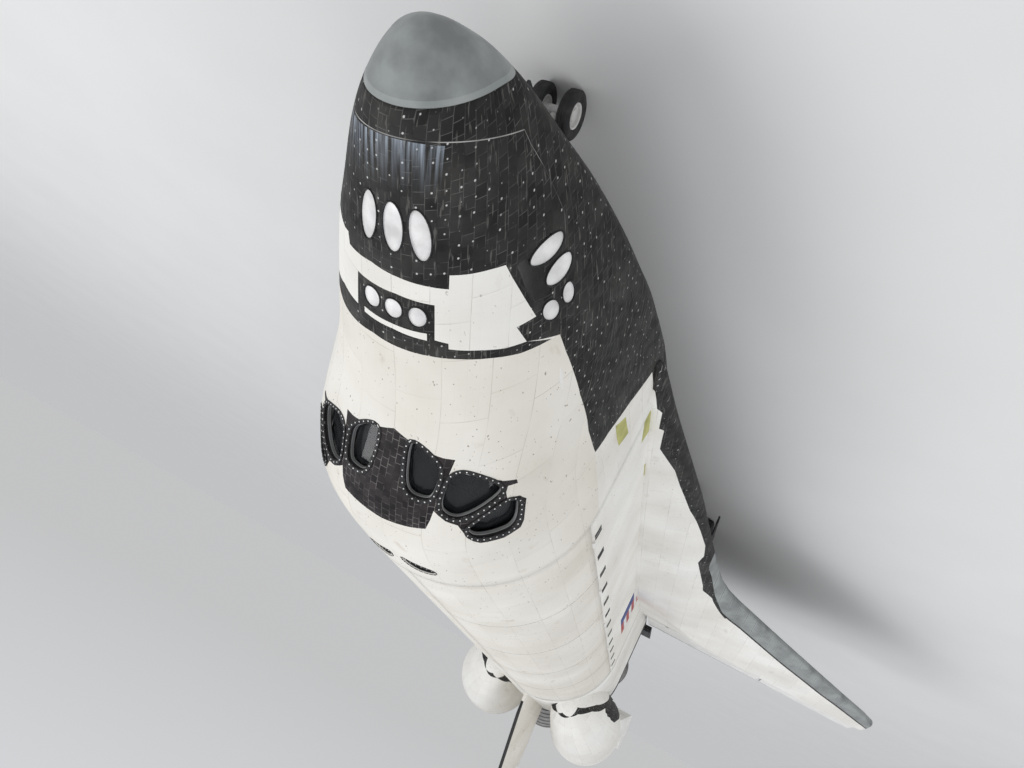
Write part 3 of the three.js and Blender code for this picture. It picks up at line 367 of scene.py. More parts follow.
class Recipe:
    """Builds one finish, a node at a time."""

    def __init__(self, name: str) -> None:
        """Makes an empty material with its shader."""
        self.material = bpy.data.materials.new(name)
        self.material.use_nodes = True
        self.tree = self.material.node_tree
        self.tree.nodes.clear()
        self.shader = self.tree.nodes.new("ShaderNodeBsdfPrincipled")
        output = self.tree.nodes.new("ShaderNodeOutputMaterial")
        self.tree.links.new(self.shader.outputs["BSDF"], output.inputs["Surface"])
        self.sources: dict[str, bpy.types.NodeSocket] = {}

    def feed(self, socket: bpy.types.NodeSocket, value: object) -> None:
        """Links or sets one input."""
        if isinstance(value, bpy.types.NodeSocket):
            self.tree.links.new(value, socket)
        elif isinstance(value, tuple) and len(value) == 3 and socket.type == "RGBA":
            socket.default_value = (*value, 1.0)
        else:
            socket.default_value = value

    def node(self, kind: str, inputs: dict[object, object], **settings: object) -> bpy.types.Node:
        """Adds a node.

        Args:
            kind: The node's type, without its first word.
            inputs: Values or sockets by input name or number.
            **settings: Properties of the node.

        Returns:
            The node.
        """
        node = self.tree.nodes.new("ShaderNode" + kind)
        for key, value in settings.items():
            setattr(node, key, value)
        for key, value in inputs.items():
            self.feed(node.inputs[key], value)
        return node

    def place(self, chart: Chart = Chart.PLAN) -> bpy.types.NodeSocket:
        """The pattern coordinates: the piece's own map, or its place in space."""
        key = "UV" if chart is Chart.SKIN else "Object"
        if key not in self.sources:
            self.sources[key] = self.node("TexCoord", {}).outputs[key]
        if chart is not Chart.SIDE:
            return self.sources[key]
        parts = self.node("SeparateXYZ", {0: self.sources[key]}).outputs
        return self.node("CombineXYZ", {0: parts["X"], 1: parts["Z"], 2: parts["Y"]}).outputs[0]

    def noise(
        self, scale: float, detail: float = 3.0, chart: Chart = Chart.PLAN, stretch: tuple[float, ...] = (),
    ) -> bpy.types.NodeSocket:
        """A soft random value, stretched along the axes where asked."""
        vector = self.place(chart)
        if stretch:
            vector = self.node("Mapping", {"Vector": vector, "Scale": stretch}).outputs["Vector"]
        return self.node("TexNoise", {"Vector": vector, "Scale": scale, "Detail": detail}).outputs[0]

    def ramp(self, value: object, stops: Sequence[tuple[float, object]]) -> bpy.types.NodeSocket:
        """A colour read off a row of stops; a stop's colour may be one grey number."""
        node = self.node("ValToRGB", {"Fac": value})
        elements = node.color_ramp.elements
        while len(elements) < len(stops):
            elements.new(0.5)
        for element, (where, colour) in zip(elements, stops):
            element.position = where
            grey = isinstance(colour, (int, float))
            element.color = (colour, colour, colour, 1.0) if grey else (*colour, 1.0)
        return node.outputs["Color"]

    def blend(self, share: object, low: object, high: object, kind: str = "MIX") -> bpy.types.NodeSocket:
        """Two colours mixed by a share."""
        node = self.node("Mix", {}, data_type="RGBA", blend_type=kind)
        for name, value in (("Factor_Float", share), ("A_Color", low), ("B_Color", high)):
            socket = next(s for s in node.inputs if s.identifier == name)
            self.feed(socket, value)
        return next(s for s in node.outputs if s.identifier == "Result_Color")

    def sum(self, kind: str, first: object, second: object = 0.0, clamp: bool = False) -> object:
        """One step of arithmetic."""
        return self.node("Math", {0: first, 1: second}, operation=kind, use_clamp=clamp).outputs[0]

    def bump(self, height: object, depth: float, strength: float = 1.0, over: object = None) -> object:
        """A normal bent by a height."""
        inputs = {"Height": height, "Distance": depth, "Strength": strength}
        if over is not None:
            inputs["Normal"] = over
        return self.node("Bump", inputs).outputs["Normal"]

    def past(self, plane: Sequence[float]) -> bpy.types.NodeSocket:
        """One on the far side of a plane that is the same to port and starboard, nought before it."""
        parts = self.node("SeparateXYZ", {0: self.place()}).outputs
        across = self.sum("ABSOLUTE", parts["Y"])
        total: object = -plane[3]
        for part, share in zip((parts["X"], across, parts["Z"]), plane):
            total = self.sum("ADD", self.sum("MULTIPLY", part, share), total)
        return self.sum("GREATER_THAN", total, 0.0)

    def finish(self, **sockets: object) -> bpy.types.Material:
        """Feeds the shader's sockets by name, with _ for a space, and returns the material."""
        for key, value in sockets.items():
            self.feed(self.shader.inputs[key.replace("_", " ")], value)
        return self.material


@dataclass(frozen=True)
class Tiles:
    """Hard tiles in rows that follow the skin: tones, seams, fastener dots and scuffs."""

    name: str
    low: tuple[float, float, float]
    high: tuple[float, float, float]
    seam: tuple[float, float, float]
    size: float = 0.155
    seam_width: float = 0.006
    seam_share: float = 0.6
    dots: float = 0.0
    roughness: float = 0.6
    mottle: tuple[float, float] = (0.72, 1.25)
    chart: Chart = Chart.SKIN
    soot: float = 0.0
    gloss: float = 0.22
    beyond: tuple[float, ...] = ()
    beyond_tone: tuple[float, float, float] = (0.02, 0.02, 0.021)
    runs: tuple[float, ...] = ()

    def make(self) -> bpy.types.Material:
        """The finished material."""
        r = Recipe(self.name)
        brick = r.node(
            "TexBrick",
            {
                "Vector": r.place(self.chart), "Color1": self.low, "Color2": self.high, "Mortar": self.low,
                "Scale": 1.0, "Mortar Size": self.seam_width, "Mortar Smooth": 0.3, "Bias": 0.0,
                "Brick Width": self.size, "Row Height": self.size,
            },
            offset=0.5, squash=1.0,
        )
        mottle = r.ramp(r.noise(2.3, 5.0), ((0.35, self.mottle[0]), (0.65, self.mottle[1])))
        tone = r.blend(1.0, brick.outputs["Color"], mottle, "MULTIPLY")
        patchy = r.ramp(r.noise(4.2, 4.0), ((0.4, 0.06), (0.62, 1.0)))
        seam = r.sum("MULTIPLY", brick.outputs["Fac"], self.seam_share)
        colour = r.blend(r.sum("MULTIPLY", seam, patchy), tone, self.seam)
        if self.soot:
            dust = r.ramp(r.noise(1.1, 6.0), ((0.5, 0.0), (0.75, self.soot)))
            colour = r.blend(dust, colour, (0.2, 0.19, 0.17))
        if self.dots:
            cells = r.node("TexVoronoi", {"Vector": r.place(self.chart), "Scale": 5.6, "Randomness": 0.12})
            near = r.ramp(cells.outputs["Distance"], ((0.06, 1.0), (0.095, 0.0)))
            some = r.ramp(r.noise(1.3, 1.0), ((0.36, 0.0), (0.44, 1.0)))
            colour = r.blend(r.sum("MULTIPLY", r.sum("MULTIPLY", near, some), self.dots), colour, (0.6, 0.6, 0.58))
        if self.soot:
            scratch = r.ramp(r.noise(8.0, 2.0, self.chart, (0.35, 2.6, 1.0)), ((0.62, 0.0), (0.67, 0.55)))
            colour = r.blend(scratch, colour, (0.14, 0.135, 0.125))
        if self.runs:
            front, back, low, high = self.runs
            parts = r.node("SeparateXYZ", {0: r.place()}).outputs
            bent = r.sum("MULTIPLY", r.sum("MULTIPLY", parts["Y"], parts["Y"]), 0.34)
            along = r.sum("ADD", parts["X"], bent)
            fade = r.sum("MULTIPLY", r.sum("SUBTRACT", along, back), 1.0 / (front - back), clamp=True)
            ahead = r.sum("LESS_THAN", along, front)
            beside = r.sum("MULTIPLY", r.sum("GREATER_THAN", parts["Y"], low), r.sum("LESS_THAN", parts["Y"], high))
            streak = r.ramp(r.noise(7.0, 4.0, stretch=(0.14, 2.6, 0.0)), ((0.42, 0.0), (0.68, 0.85)))
            faint = r.sum("MULTIPLY", streak, r.sum("MULTIPLY", fade, fade))
            share = r.sum("MULTIPLY", faint, r.sum("MULTIPLY", ahead, beside))
            colour = r.blend(share, colour, (0.44, 0.5, 0.58))
        if self.beyond:
            dark = r.blend(seam, self.beyond_tone, (0.13, 0.13, 0.13))
            colour = r.blend(r.past(self.beyond), colour, dark)
        normal = r.bump(r.sum("SUBTRACT", 1.0, brick.outputs["Fac"]), 0.004, 0.5)
        rough = r.ramp(r.noise(5.0, 3.0), ((0.3, self.roughness * 0.85), (0.7, min(self.roughness * 1.15, 1.0))))
        return r.finish(Base_Color=colour, Roughness=rough, Normal=normal, Specular_IOR_Level=self.gloss)


@dataclass(frozen=True)
class Blanket:
    """Off-white quilted covering in large panels, with soft stains and small dark flecks."""

    name: str
    tone: tuple[float, float, float] = (0.78, 0.755, 0.70)
    panel: tuple[float, float] = (1.05, 0.72)
    roughness: float = 0.85
    stain: float = 1.0
    chart: Chart = Chart.SKIN
    beyond: tuple[float, ...] = ()

    def make(self) -> bpy.types.Material:
        """The finished material."""
        r = Recipe(self.name)
        width, height = self.panel
        shade = tuple(0.945 * c for c in self.tone)
        sheets = {
            "Vector": r.place(self.chart), "Color1": self.tone, "Color2": shade, "Mortar": self.tone,
            "Scale": 1.0, "Mortar Size": 0.009, "Mortar Smooth": 0.7, "Bias": -0.15,
            "Brick Width": width, "Row Height": height,
        }
        brick = r.node("TexBrick", sheets, offset=0.37, squash=1.0)
        small = {**sheets, "Mortar Size": 0.004, "Brick Width": width / 5, "Row Height": height / 4}
        quilt = r.node("TexBrick", small, offset=0.5, squash=1.0)
        drift = r.ramp(r.noise(0.5, 5.0), ((0.3, (0.88, 0.86, 0.82)), (0.7, (1.04, 1.04, 1.04))))
        tone = r.blend(1.0, brick.outputs["Color"], drift, "MULTIPLY")
        worn = r.ramp(r.noise(1.6, 5.0), ((0.42, 0.15), (0.66, 0.85)))
        line = r.sum("MULTIPLY", r.sum("MULTIPLY", brick.outputs["Fac"], worn), 0.55)
        tone = r.blend(line, tone, (0.36, 0.32, 0.27))
        faint = r.sum("MULTIPLY", r.sum("MULTIPLY", quilt.outputs["Fac"], worn), 0.16)
        tone = r.blend(faint, tone, (0.4, 0.37, 0.32))
        brown = r.ramp(r.noise(2.6, 7.0, stretch=(0.55, 1.0, 1.0)), ((0.64, 0.0), (0.78, 0.5 * self.stain)))
        tone = r.blend(brown, tone, (0.42, 0.34, 0.25))
        fleck = r.ramp(r.noise(21.0, 2.0, stretch=(0.5, 1.0, 1.0)), ((0.7, 0.0), (0.735, 0.8 * self.stain)))
        tone = r.blend(fleck, tone, (0.2, 0.16, 0.13))
        if self.beyond:
            tone = r.blend(r.past(self.beyond), tone, (0.02, 0.02, 0.021))
        height_map = r.sum("SUBTRACT", 1.0, r.sum("MAXIMUM", brick.outputs["Fac"], faint))
        normal = r.bump(r.noise(55.0, 2.0), 0.0015, 0.25, r.bump(height_map, 0.005, 0.4))
        return r.finish(Base_Color=tone, Roughness=self.roughness, Normal=normal)


@dataclass(frozen=True)
class Carbon:
    """Grey coated carbon with soft smudges."""

    name: str
    low: tuple[float, float, float] = (0.17, 0.18, 0.18)
    high: tuple[float, float, float] = (0.28, 0.3, 0.295)
    roughness: float = 0.5

    def make(self) -> bpy.types.Material:
        """The finished material."""
        r = Recipe(self.name)
        tone = r.ramp(r.noise(1.7, 6.0), ((0.36, self.low), (0.62, self.high)))
        fine = r.noise(60.0, 3.0)
        normal = r.bump(fine, 0.002, 0.3)
        return r.finish(Base_Color=tone, Roughness=self.roughness, Normal=normal)


@dataclass(frozen=True)
class Metal:
    """Bare or painted metal with a soft random variation."""

    name: str
    tone: tuple[float, float, float] = (0.42, 0.42, 0.43)
    metallic: float = 0.8
    roughness: float = 0.4

    def make(self) -> bpy.types.Material:
        """The finished material."""
        r = Recipe(self.name)
        vary = r.ramp(r.noise(3.0, 5.0), ((0.3, 0.72), (0.7, 1.15)))
        tone = r.blend(1.0, self.tone, vary, "MULTIPLY")
        rough = r.ramp(r.noise(9.0, 4.0), ((0.3, self.roughness * 0.8), (0.7, min(self.roughness * 1.3, 1.0))))
        normal = r.bump(r.noise(40.0, 3.0), 0.001, 0.2)
        return r.finish(Base_Color=tone, Metallic=self.metallic, Roughness=rough, Normal=normal)


@dataclass(frozen=True)
class Rubber:
    """Tyre rubber with a patchy, dusty tone."""

    name: str

    def make(self) -> bpy.types.Material:
        """The finished material."""
        r = Recipe(self.name)
        tone = r.ramp(r.noise(6.0, 5.0), ((0.35, (0.014, 0.014, 0.015)), (0.75, (0.05, 0.048, 0.045))))
        normal = r.bump(r.noise(90.0, 3.0), 0.001, 0.3)
        return r.finish(Base_Color=tone, Roughness=0.8, Normal=normal)


@dataclass(frozen=True)
class Glass:
    """Dark window glass that lets a little of the cabin through."""

    name: str

    def make(self) -> bpy.types.Material:
        """The finished material."""
        r = Recipe(self.name)
        tone = r.ramp(r.noise(2.0, 3.0), ((0.3, (0.012, 0.014, 0.016)), (0.7, (0.03, 0.033, 0.036))))
        r.material.surface_render_method = "BLENDED"
        return r.finish(Base_Color=tone, Roughness=0.06, Alpha=0.5)


def dark_tiles(name: str, chart: Chart) -> Tiles:
    """Black tiles that follow a view instead of the skin."""
    return Tiles(name, (0.013, 0.013, 0.014), (0.032, 0.032, 0.034), (0.13, 0.13, 0.13), chart=chart, soot=0.15)


def pale_tiles(
    name: str, chart: Chart = Chart.PLAN, size: float = 0.21, seam_share: float = 0.2, beyond: tuple[float, ...] = (),
) -> Tiles:
    """White tiles with faint seams."""
    return Tiles(
        name, (0.78, 0.77, 0.74), (0.83, 0.825, 0.8), (0.42, 0.39, 0.34), size=size, seam_width=0.004,
        seam_share=seam_share, roughness=0.75, mottle=(0.93, 1.03), chart=chart, beyond=beyond,
    )


class Finishes(Enum):
    """Every finish of the orbiter, with the record's slot that it belongs to."""

    BLACK_TILE = (
        Tiles("black_tile", (0.008, 0.0075, 0.0075), (0.022, 0.021, 0.0205), (0.15, 0.148, 0.142), seam_share=0.5,
              dots=0.85, soot=0.16, runs=(17.575, 16.95, -0.62, 0.85)),
        "black_tile",
    )
    BLACK_PLAN = (dark_tiles("black_plan", Chart.PLAN), "black_tile")
    BLACK_SIDE = (dark_tiles("black_side", Chart.SIDE), "black_tile")
    SURROUND = (
        Tiles("window_surround", (0.008, 0.006, 0.007), (0.026, 0.021, 0.022), (0.25, 0.235, 0.22), seam_width=0.0055,
              seam_share=0.62, size=0.112, mottle=(0.6, 1.5)),
        "black_tile",
    )
    WHITE_TILE = (pale_tiles("white_tile", Chart.SKIN, 0.155, 0.22), "white_tile")
    WHITE_PLAN = (pale_tiles("white_plan"), "white_tile")
    WHITE_SIDE = (pale_tiles("white_side", Chart.SIDE), "white_tile")
    # white on top, black past the plane of its underside
    WHITE_ELEVON = (
        pale_tiles(
            "white_elevon", beyond=plane_of(at(29261, 2997, 345), at(32600, 2997, 345), at(29261, 11000, 713), 30.0),
        ),
        "white_tile",
    )
    HOLLOW = (Metal("sooted_hollow", (0.012, 0.011, 0.0105), 0.35, 0.24), "black_tile")
    PANEL = (Blanket("white_panel", (0.84, 0.83, 0.8), (0.9, 0.55), 0.8, 0.55), "white_tile")
    COVER = (Metal("thruster_cover", (0.8, 0.79, 0.78), 0.0, 0.6), "white_tile")
    BLANKET = (Blanket("blanket"), "blanket")
    BLANKET_SIDE = (
        Blanket("blanket_side", chart=Chart.SIDE,
                beyond=plane_of(at(26543, 0, 5918), at(26543, 500, 5918), at(34562, 0, 13868), 330.0)),
        "blanket",
    )
    CARBON = (Carbon("nose_carbon"), "nose_carbon")
    CARBON_PALE = (Carbon("carbon_strip", (0.23, 0.25, 0.245), (0.33, 0.35, 0.34)), "nose_carbon")
    WORN_SEAM = (Carbon("worn_seam", (0.03, 0.03, 0.03), (0.42, 0.41, 0.39)), "black_tile")
    BELL = (Metal("bell_metal", (0.36, 0.35, 0.34), 0.9, 0.35), "bell_metal")
    MECHANISM = (Metal("mechanism", (0.3, 0.3, 0.32), 0.8, 0.4), "mechanism")
    SILL = (Metal("window_sill", (0.25, 0.25, 0.25), 0.2, 0.5), "mechanism")
    JOINT = (Metal("dark_joint", (0.012, 0.012, 0.013), 0.0, 0.7), "black_tile")
    YELLOW = (Metal("yellow_patch", (0.46, 0.45, 0.16), 0.0, 0.7), "white_tile")
    RED = (Metal("red_stripe", (0.42, 0.06, 0.06), 0.0, 0.6), "white_tile")
    BLUE = (Metal("blue_stripe", (0.04, 0.07, 0.24), 0.0, 0.6), "white_tile")
    GEAR = (Metal("gear_white", (0.66, 0.66, 0.64), 0.0, 0.45), "gear_white")
    RUBBER = (Rubber("tyre"), "tyre")
    GLASS = (Glass("window_glass"), "window_glass")
    CABIN = (Metal("cabin_grey", (0.24, 0.215, 0.18), 0.0, 0.8), "cabin_grey")
    CLOTH = (Metal("seat_cloth", (0.06, 0.08, 0.1), 0.0, 0.9), "seat_cloth")

    @property
    def slot(self) -> str:
        """The record's material slot."""
        return self.value[1]

    @property
    def material(self) -> bpy.types.Material:
        """The Blender material, made once."""
        found = bpy.data.materials.get("finish_" + self.value[0].name)
        if found is None:
            found = self.value[0].make()
            found.name = "finish_" + self.value[0].name
        return found


def hand_over(
    bm: BMesh, name: str, finishes: Sequence[Finishes], body: str, replaces: Sequence[str] = (),
    wall: float = 0.0, smooth: bool = True, sharp: float = 40.0,
) -> bpy.types.Object:
    """Turns a finished mesh into a piece that rides on its body.

    Args:
        bm: The mesh, in millimetres in the orbiter's own frame; it is used up.
        name: The piece's name.
        finishes: Its finishes, in the order of the faces' material numbers.
        body: The CAD body that it rides on.
        replaces: CAD nodes that it stands for.
        wall: Thickness given inwards to an open skin, in millimetres.
        smooth: Whether the faces are shaded smooth.
        sharp: Angle in degrees past which an edge stays sharp.

    Returns:
        The piece.
    """
    bmesh.ops.transform(bm, matrix=STANCE, verts=bm.verts)
    for face in bm.faces:
        face.smooth = smooth
    limit = math.radians(sharp)
    for edge in bm.edges:
        if len(edge.link_faces) == 2:
            edge.smooth = edge.calc_face_angle(0.0) < limit
    mesh = bpy.data.meshes.new(name)
    bm.to_mesh(mesh)
    bm.free()
    piece = bpy.data.objects.new(name, mesh)
    bpy.context.scene.collection.objects.link(piece)
    for finish in finishes:
        mesh.materials.append(finish.material)
    if wall:
        shell = piece.modifiers.new("wall", "SOLIDIFY")
        shell.thickness = wall * MM
        shell.offset = -1.0
    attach(piece, body)
    finishes[0].slot
    if replaces:
        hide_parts(*replaces)
    log.info("%s: %d faces", name, len(mesh.polygons))
    return piece


class Sheet:
    """A flat working sheet that is cut in the flat and then laid on a form."""

    def __init__(self, low: tuple[float, float], high: tuple[float, float], step: float = 1.25) -> None:
        """Makes the sheet.

        Args:
            low: Its lowest corner.
            high: Its highest corner.
            step: The size of its cells.
        """
        self.bm = bmesh.new()
        self.marks: list[tuple[list[tuple[float, float]], int]] = []
        self.boxes: dict[BMFace, tuple[float, float, float, float]] = {}
        size = (high[0] - low[0], high[1] - low[1])
        cells = [max(int(math.ceil(s / step)), 1) for s in size]
        bmesh.ops.create_grid(self.bm, x_segments=cells[0], y_segments=cells[1], size=0.5)
        bmesh.ops.scale(self.bm, vec=(size[0], size[1], 1.0), verts=self.bm.verts)
        middle = ((low[0] + high[0]) / 2, (low[1] + high[1]) / 2, 0.0)
        bmesh.ops.translate(self.bm, vec=middle, verts=self.bm.verts)

    @staticmethod
    def bounds(points: Sequence[Sequence[float]]) -> tuple[float, float, float, float]:
        """The lowest and highest x and y of points."""
        xs, ys = [p[0] for p in points], [p[1] for p in points]
        return min(xs), max(xs), min(ys), max(ys)

    def _box(self, face: BMFace) -> tuple[float, float, float, float]:
        """The bounds that a face had when it was first looked at; a later cut only shrinks it."""
        if face not in self.boxes:
            self.boxes[face] = self.bounds([v.co for v in face.verts])
        return self.boxes[face]

    def _touching(self, faces: Sequence[BMFace], a: Sequence[float], b: Sequence[float]) -> list[BMFace]:
        """The faces whose box meets the box of a line."""
        x0, x1, y0, y1 = self.bounds((a, b))
        found = []
        for face in faces:
            low_x, high_x, low_y, high_y = self._box(face)
            if low_x <= x1 + 0.01 and high_x >= x0 - 0.01 and low_y <= y1 + 0.01 and high_y >= y0 - 0.01:
                found.append(face)
        return found

    def cut(self, outline: Outline) -> None:
        """Cuts the sheet along a closed outline."""
        x0, x1, y0, y1 = self.bounds(outline)
        local = set(self._touching(self.bm.faces, (x0, y0), (x1, y1)))
        for a, b in zip(outline, [*outline[1:], outline[0]]):
            if math.hypot(b[0] - a[0], b[1] - a[1]) < 1e-4:
                continue
            near = self._touching(local, a, b)
            if not near:
                continue
            geometry = {*near, *(e for f in near for e in f.edges), *(v for f in near for v in f.verts)}
            made = bmesh.ops.bisect_plane(
                self.bm, geom=list(geometry), dist=0.002,
                plane_co=(a[0], a[1], 0.0), plane_no=(b[1] - a[1], a[0] - b[0], 0.0),
            )
            local.update(g for g in made["geom"] if isinstance(g, BMFace))

    def mark(self, outline: Outline, number: int) -> None:
        """Cuts an outline and gives what lies in it a material number; -1 makes it a hole."""
        self.cut(outline)
        self.marks.append((list(outline), number))

    @staticmethod
    def inside(x: float, y: float, outline: Outline) -> bool:
        """Whether a point lies in an outline."""
        within = False
        for (x0, y0), (x1, y1) in zip(outline, [*outline[1:], outline[0]]):
            if (y0 > y) != (y1 > y) and x < (x1 - x0) * (y - y0) / (y1 - y0) + x0:
                within = not within
        return within

    def settle(self) -> None:
        """Gives the faces the numbers of the outlines that they lie in and opens the holes."""
        boxes = [self.bounds(outline) for outline, _ in self.marks]
        holes = []
        for face in self.bm.faces:
            centre = face.calc_center_median()
            number = 0
            for (outline, value), (x0, x1, y0, y1) in zip(self.marks, boxes):
                if x0 <= centre.x <= x1 and y0 <= centre.y <= y1 and self.inside(centre.x, centre.y, outline):
                    number = value
            if number < 0:
                holes.append(face)
            else:
                face.material_index = number
        bmesh.ops.delete(self.bm, geom=holes, context="FACES")

    def lay(self, place: Callable[[float, float], Vector], chart: Callable[[float, float], tuple]) -> BMesh:
        """Lays the sheet on a form.

        Args:
            place: Gives the place in space of a sheet place.
            chart: Gives its pattern coordinates in metres.

        Returns:
            The mesh in space.
        """
        self.settle()
        layer = self.bm.loops.layers.uv.new("chart")
        for face in self.bm.faces:
            for loop in face.loops:
                loop[layer].uv = chart(loop.vert.co.x, loop.vert.co.y)
        for vert in self.bm.verts:
            vert.co = place(vert.co.x, vert.co.y)
        return self.bm


def snug(bm: BMesh, nodes: Sequence[str], lift: float, reach: float = 60.0) -> None:
    """Moves every corner along its normal until it stands just off the surface of CAD nodes.

    Args:
        bm: The skin, in millimetres in the orbiter's own frame.
        nodes: The nodes that it covers.
        lift: How far it stands off them.
        reach: How far it is moved at most.
    """
    home = STANCE.inverted()
    corners, faces = [], []
    for name in nodes:
        node = bpy.data.objects[name]
        start = len(corners)
        corners += [home @ (node.matrix_world @ v.co) for v in node.data.vertices]
        faces += [[start + i for i in polygon.vertices] for polygon in node.data.polygons]
    tree = BVHTree.FromPolygons(corners, faces)
    bm.normal_update()
    for vert in bm.verts:
        hit = tree.ray_cast(vert.co + vert.normal * reach, -vert.normal, 2 * reach)[0]
        if hit is not None:
            vert.co = hit + vert.normal * lift


class HullSkin:
    """A piece of the fuselage's outer skin."""

    LIFT = 4.0
    WALL = 22.0

    def __init__(self, aft: tuple[float, float], turn: tuple[float, float], step: float = 1.25) -> None:
        """Makes the flat sheet between two distances aft and two turns."""
        low = (math.sqrt(aft[0]), HULL.flat_turn(turn[0]))
        high = (math.sqrt(aft[1]), HULL.flat_turn(turn[1]))
        self.sheet = Sheet(low, high, step)
        self.girths: dict[float, list[float]] = {}

    def _chart(self, root: float, flat: float) -> tuple[float, float]:
        """Pattern coordinates: length along the body, and girth from the middle of the crown."""
        aft = root * root
        key = round(root, 2)
        if key not in self.girths:
            points = [HULL.point(aft, 4 + i / 8) for i in range(33)]
            total, row = 0.0, [0.0]
            for a, b in zip(points, points[1:]):
                total += (b - a).length
                row.append(total * MM)
            self.girths[key] = row
        away = HULL.turn_of(flat) - 4.0
        step = min(abs(away) * 8, 31.999)
        low = int(step)
        row = self.girths[key]
        girth = row[low] + (row[low + 1] - row[low]) * (step - low)
        return HULL.lengths(aft)[0] * MM, math.copysign(girth, away)

    def lay(self, lift: float = LIFT) -> BMesh:
        """The skin in space."""
        return self.sheet.lay(lambda x, y: HULL.point(x * x, HULL.turn_of(y), lift), self._chart)


def leaned_cut(bm: BMesh, aft: float, z: float, lean: float, **clear: bool) -> Vector:
    """Cuts a mesh by a plane across the body, leaned by an angle, and returns its normal."""
    normal = Vector((-math.cos(lean), 0.0, math.sin(lean)))
    geometry = [*bm.verts, *bm.edges, *bm.faces]
    bmesh.ops.bisect_plane(bm, geom=geometry, dist=0.05, plane_co=at(aft, 0.0, z), plane_no=normal, **clear)
    return normal


@dataclass
class Nose:
    """The carbon cap at the nose."""

    cap_aft: float = 500.0
    cap_z: float = 2360.0
    lean: float = math.radians(15)

    def build(self) -> None:
        """Makes the cap's skin."""
        cap = HullSkin((0.0, 1400.0), (0.0, 8.0), 0.9)
        bm = cap.lay(2.0)
        bmesh.ops.remove_doubles(bm, verts=bm.verts, dist=0.5)
        leaned_cut(bm, self.cap_aft, self.cap_z, self.lean, clear_outer=True)
        edge = [v for v in bm.verts if v.is_boundary and v.co.x > -1.0]
        if edge:
            bmesh.ops.contextual_create(bm, geom=edge)
        seam_between(bm, self.cap_aft - 66, self.cap_aft - 4, 1, self.lean)
        hand_over(
            bm, "nose_cap_skin", [Finishes.CARBON, Finishes.CARBON_PALE], "airframe", ["nose_cap"], wall=HullSkin.WALL,
        )


def grow(bm: BMesh, row: Sequence[BMVert], places: Sequence[Vector], number: int) -> list[BMVert]:
    """Extrudes a closed row of vertices to new places.

    Args:
        bm: The mesh.
        row: The vertices, in order.
        places: Where their copies go.
        number: The material number of the faces between.

    Returns:
        The copies, in order.
    """
    edges = []
    for a, b in zip(row, [*row[1:], row[0]]):
        edges.append(next((e for e in a.link_edges if e.other_vert(a) is b), None) or bm.edges.new((a, b)))
    made = bmesh.ops.extrude_edge_only(bm, edges=edges)["geom"]
    fresh = {g for g in made if isinstance(g, BMVert)}
    for face in made:
        if isinstance(face, BMFace):
            face.material_index = number
    copies = []
    for vert, place in zip(row, places):
        copy = next(e.other_vert(vert) for e in vert.link_edges if e.other_vert(vert) in fresh)
        copy.co = place
        copies.append(copy)
    return copies


class SkinLoop:
    """A closed row of places on the skin with the directions out of the loop and off the skin."""

    def __init__(self, outline: Sequence[tuple[float, float]]) -> None:
        """Finds the places of a sheet outline and their directions."""
        self.spots = [HULL.point(x * x, HULL.turn_of(y)) for x, y in outline]
        count = len(self.spots)
        middle = sum(self.spots, Vector()) / count
        self.normal = sum(
            ((self.spots[i] - middle).cross(self.spots[(i + 1) % count] - middle) for i in range(count)), Vector(),
        ).normalized()
        if self.normal.dot(middle - at(-middle.x, 0, 1800)) < 0:
            self.normal.negate()
        self.outward = []
        for i, spot in enumerate(self.spots):
            way = (self.spots[(i + 1) % count] - self.spots[i - 1]).normalized()
            out = way.cross(self.normal).normalized()
            self.outward.append(out if out.dot(spot - middle) > 0 else -out)

    def row(self, out: float, up: float) -> list[Vector]:
        """The loop widened by a distance and lifted by another."""
        return [s + o * out + self.normal * up for s, o in zip(self.spots, self.outward)]

    def build(self, steps: Sequence[tuple[float, float, int]], closed: bool = False) -> BMesh:
        """Sweeps a profile round the loop.

        Args:
            steps: Distances out and up, and the material number of the face that leads there.
            closed: Whether the last row is filled.

        Returns:
            The mesh, with its faces away from the skin.
        """
        bm = bmesh.new()
        row = [bm.verts.new(p) for p in self.row(*steps[0][:2])]
        for out, up, number in steps[1:]:
            row = grow(bm, row, self.row(out, up), number)
        if closed:
            face = bm.faces.new(row)
            face.material_index = steps[-1][2]
        bm.normal_update()
        first = max(bm.faces, key=lambda f: abs(f.normal.dot(self.normal)) * f.calc_area())
        if first.normal.dot(self.normal) < 0:
            bmesh.ops.reverse_faces(bm, faces=bm.faces)
        return bm

    def dots(self, out: float, up: float, spacing: float, radius: float) -> list[BMesh]:
        """Small round fastener heads along the widened loop."""
        places = self.row(out, up)
        turn = self.normal.to_track_quat("Z", "Y").to_matrix().to_4x4()
        heads, left = [], 0.0
        for a, b in zip(places, [*places[1:], places[0]]):
            length = (b - a).length
            while left < length:
                bm = bmesh.new()
                bmesh.ops.create_cone(
                    bm, cap_ends=True, segments=7, radius1=radius, radius2=radius * 0.7, depth=6.0,
                    matrix=Matrix.Translation(a.lerp(b, left / length)) @ turn,
                )
                heads.append(bm)
                left += spacing
            left -= length
        return heads


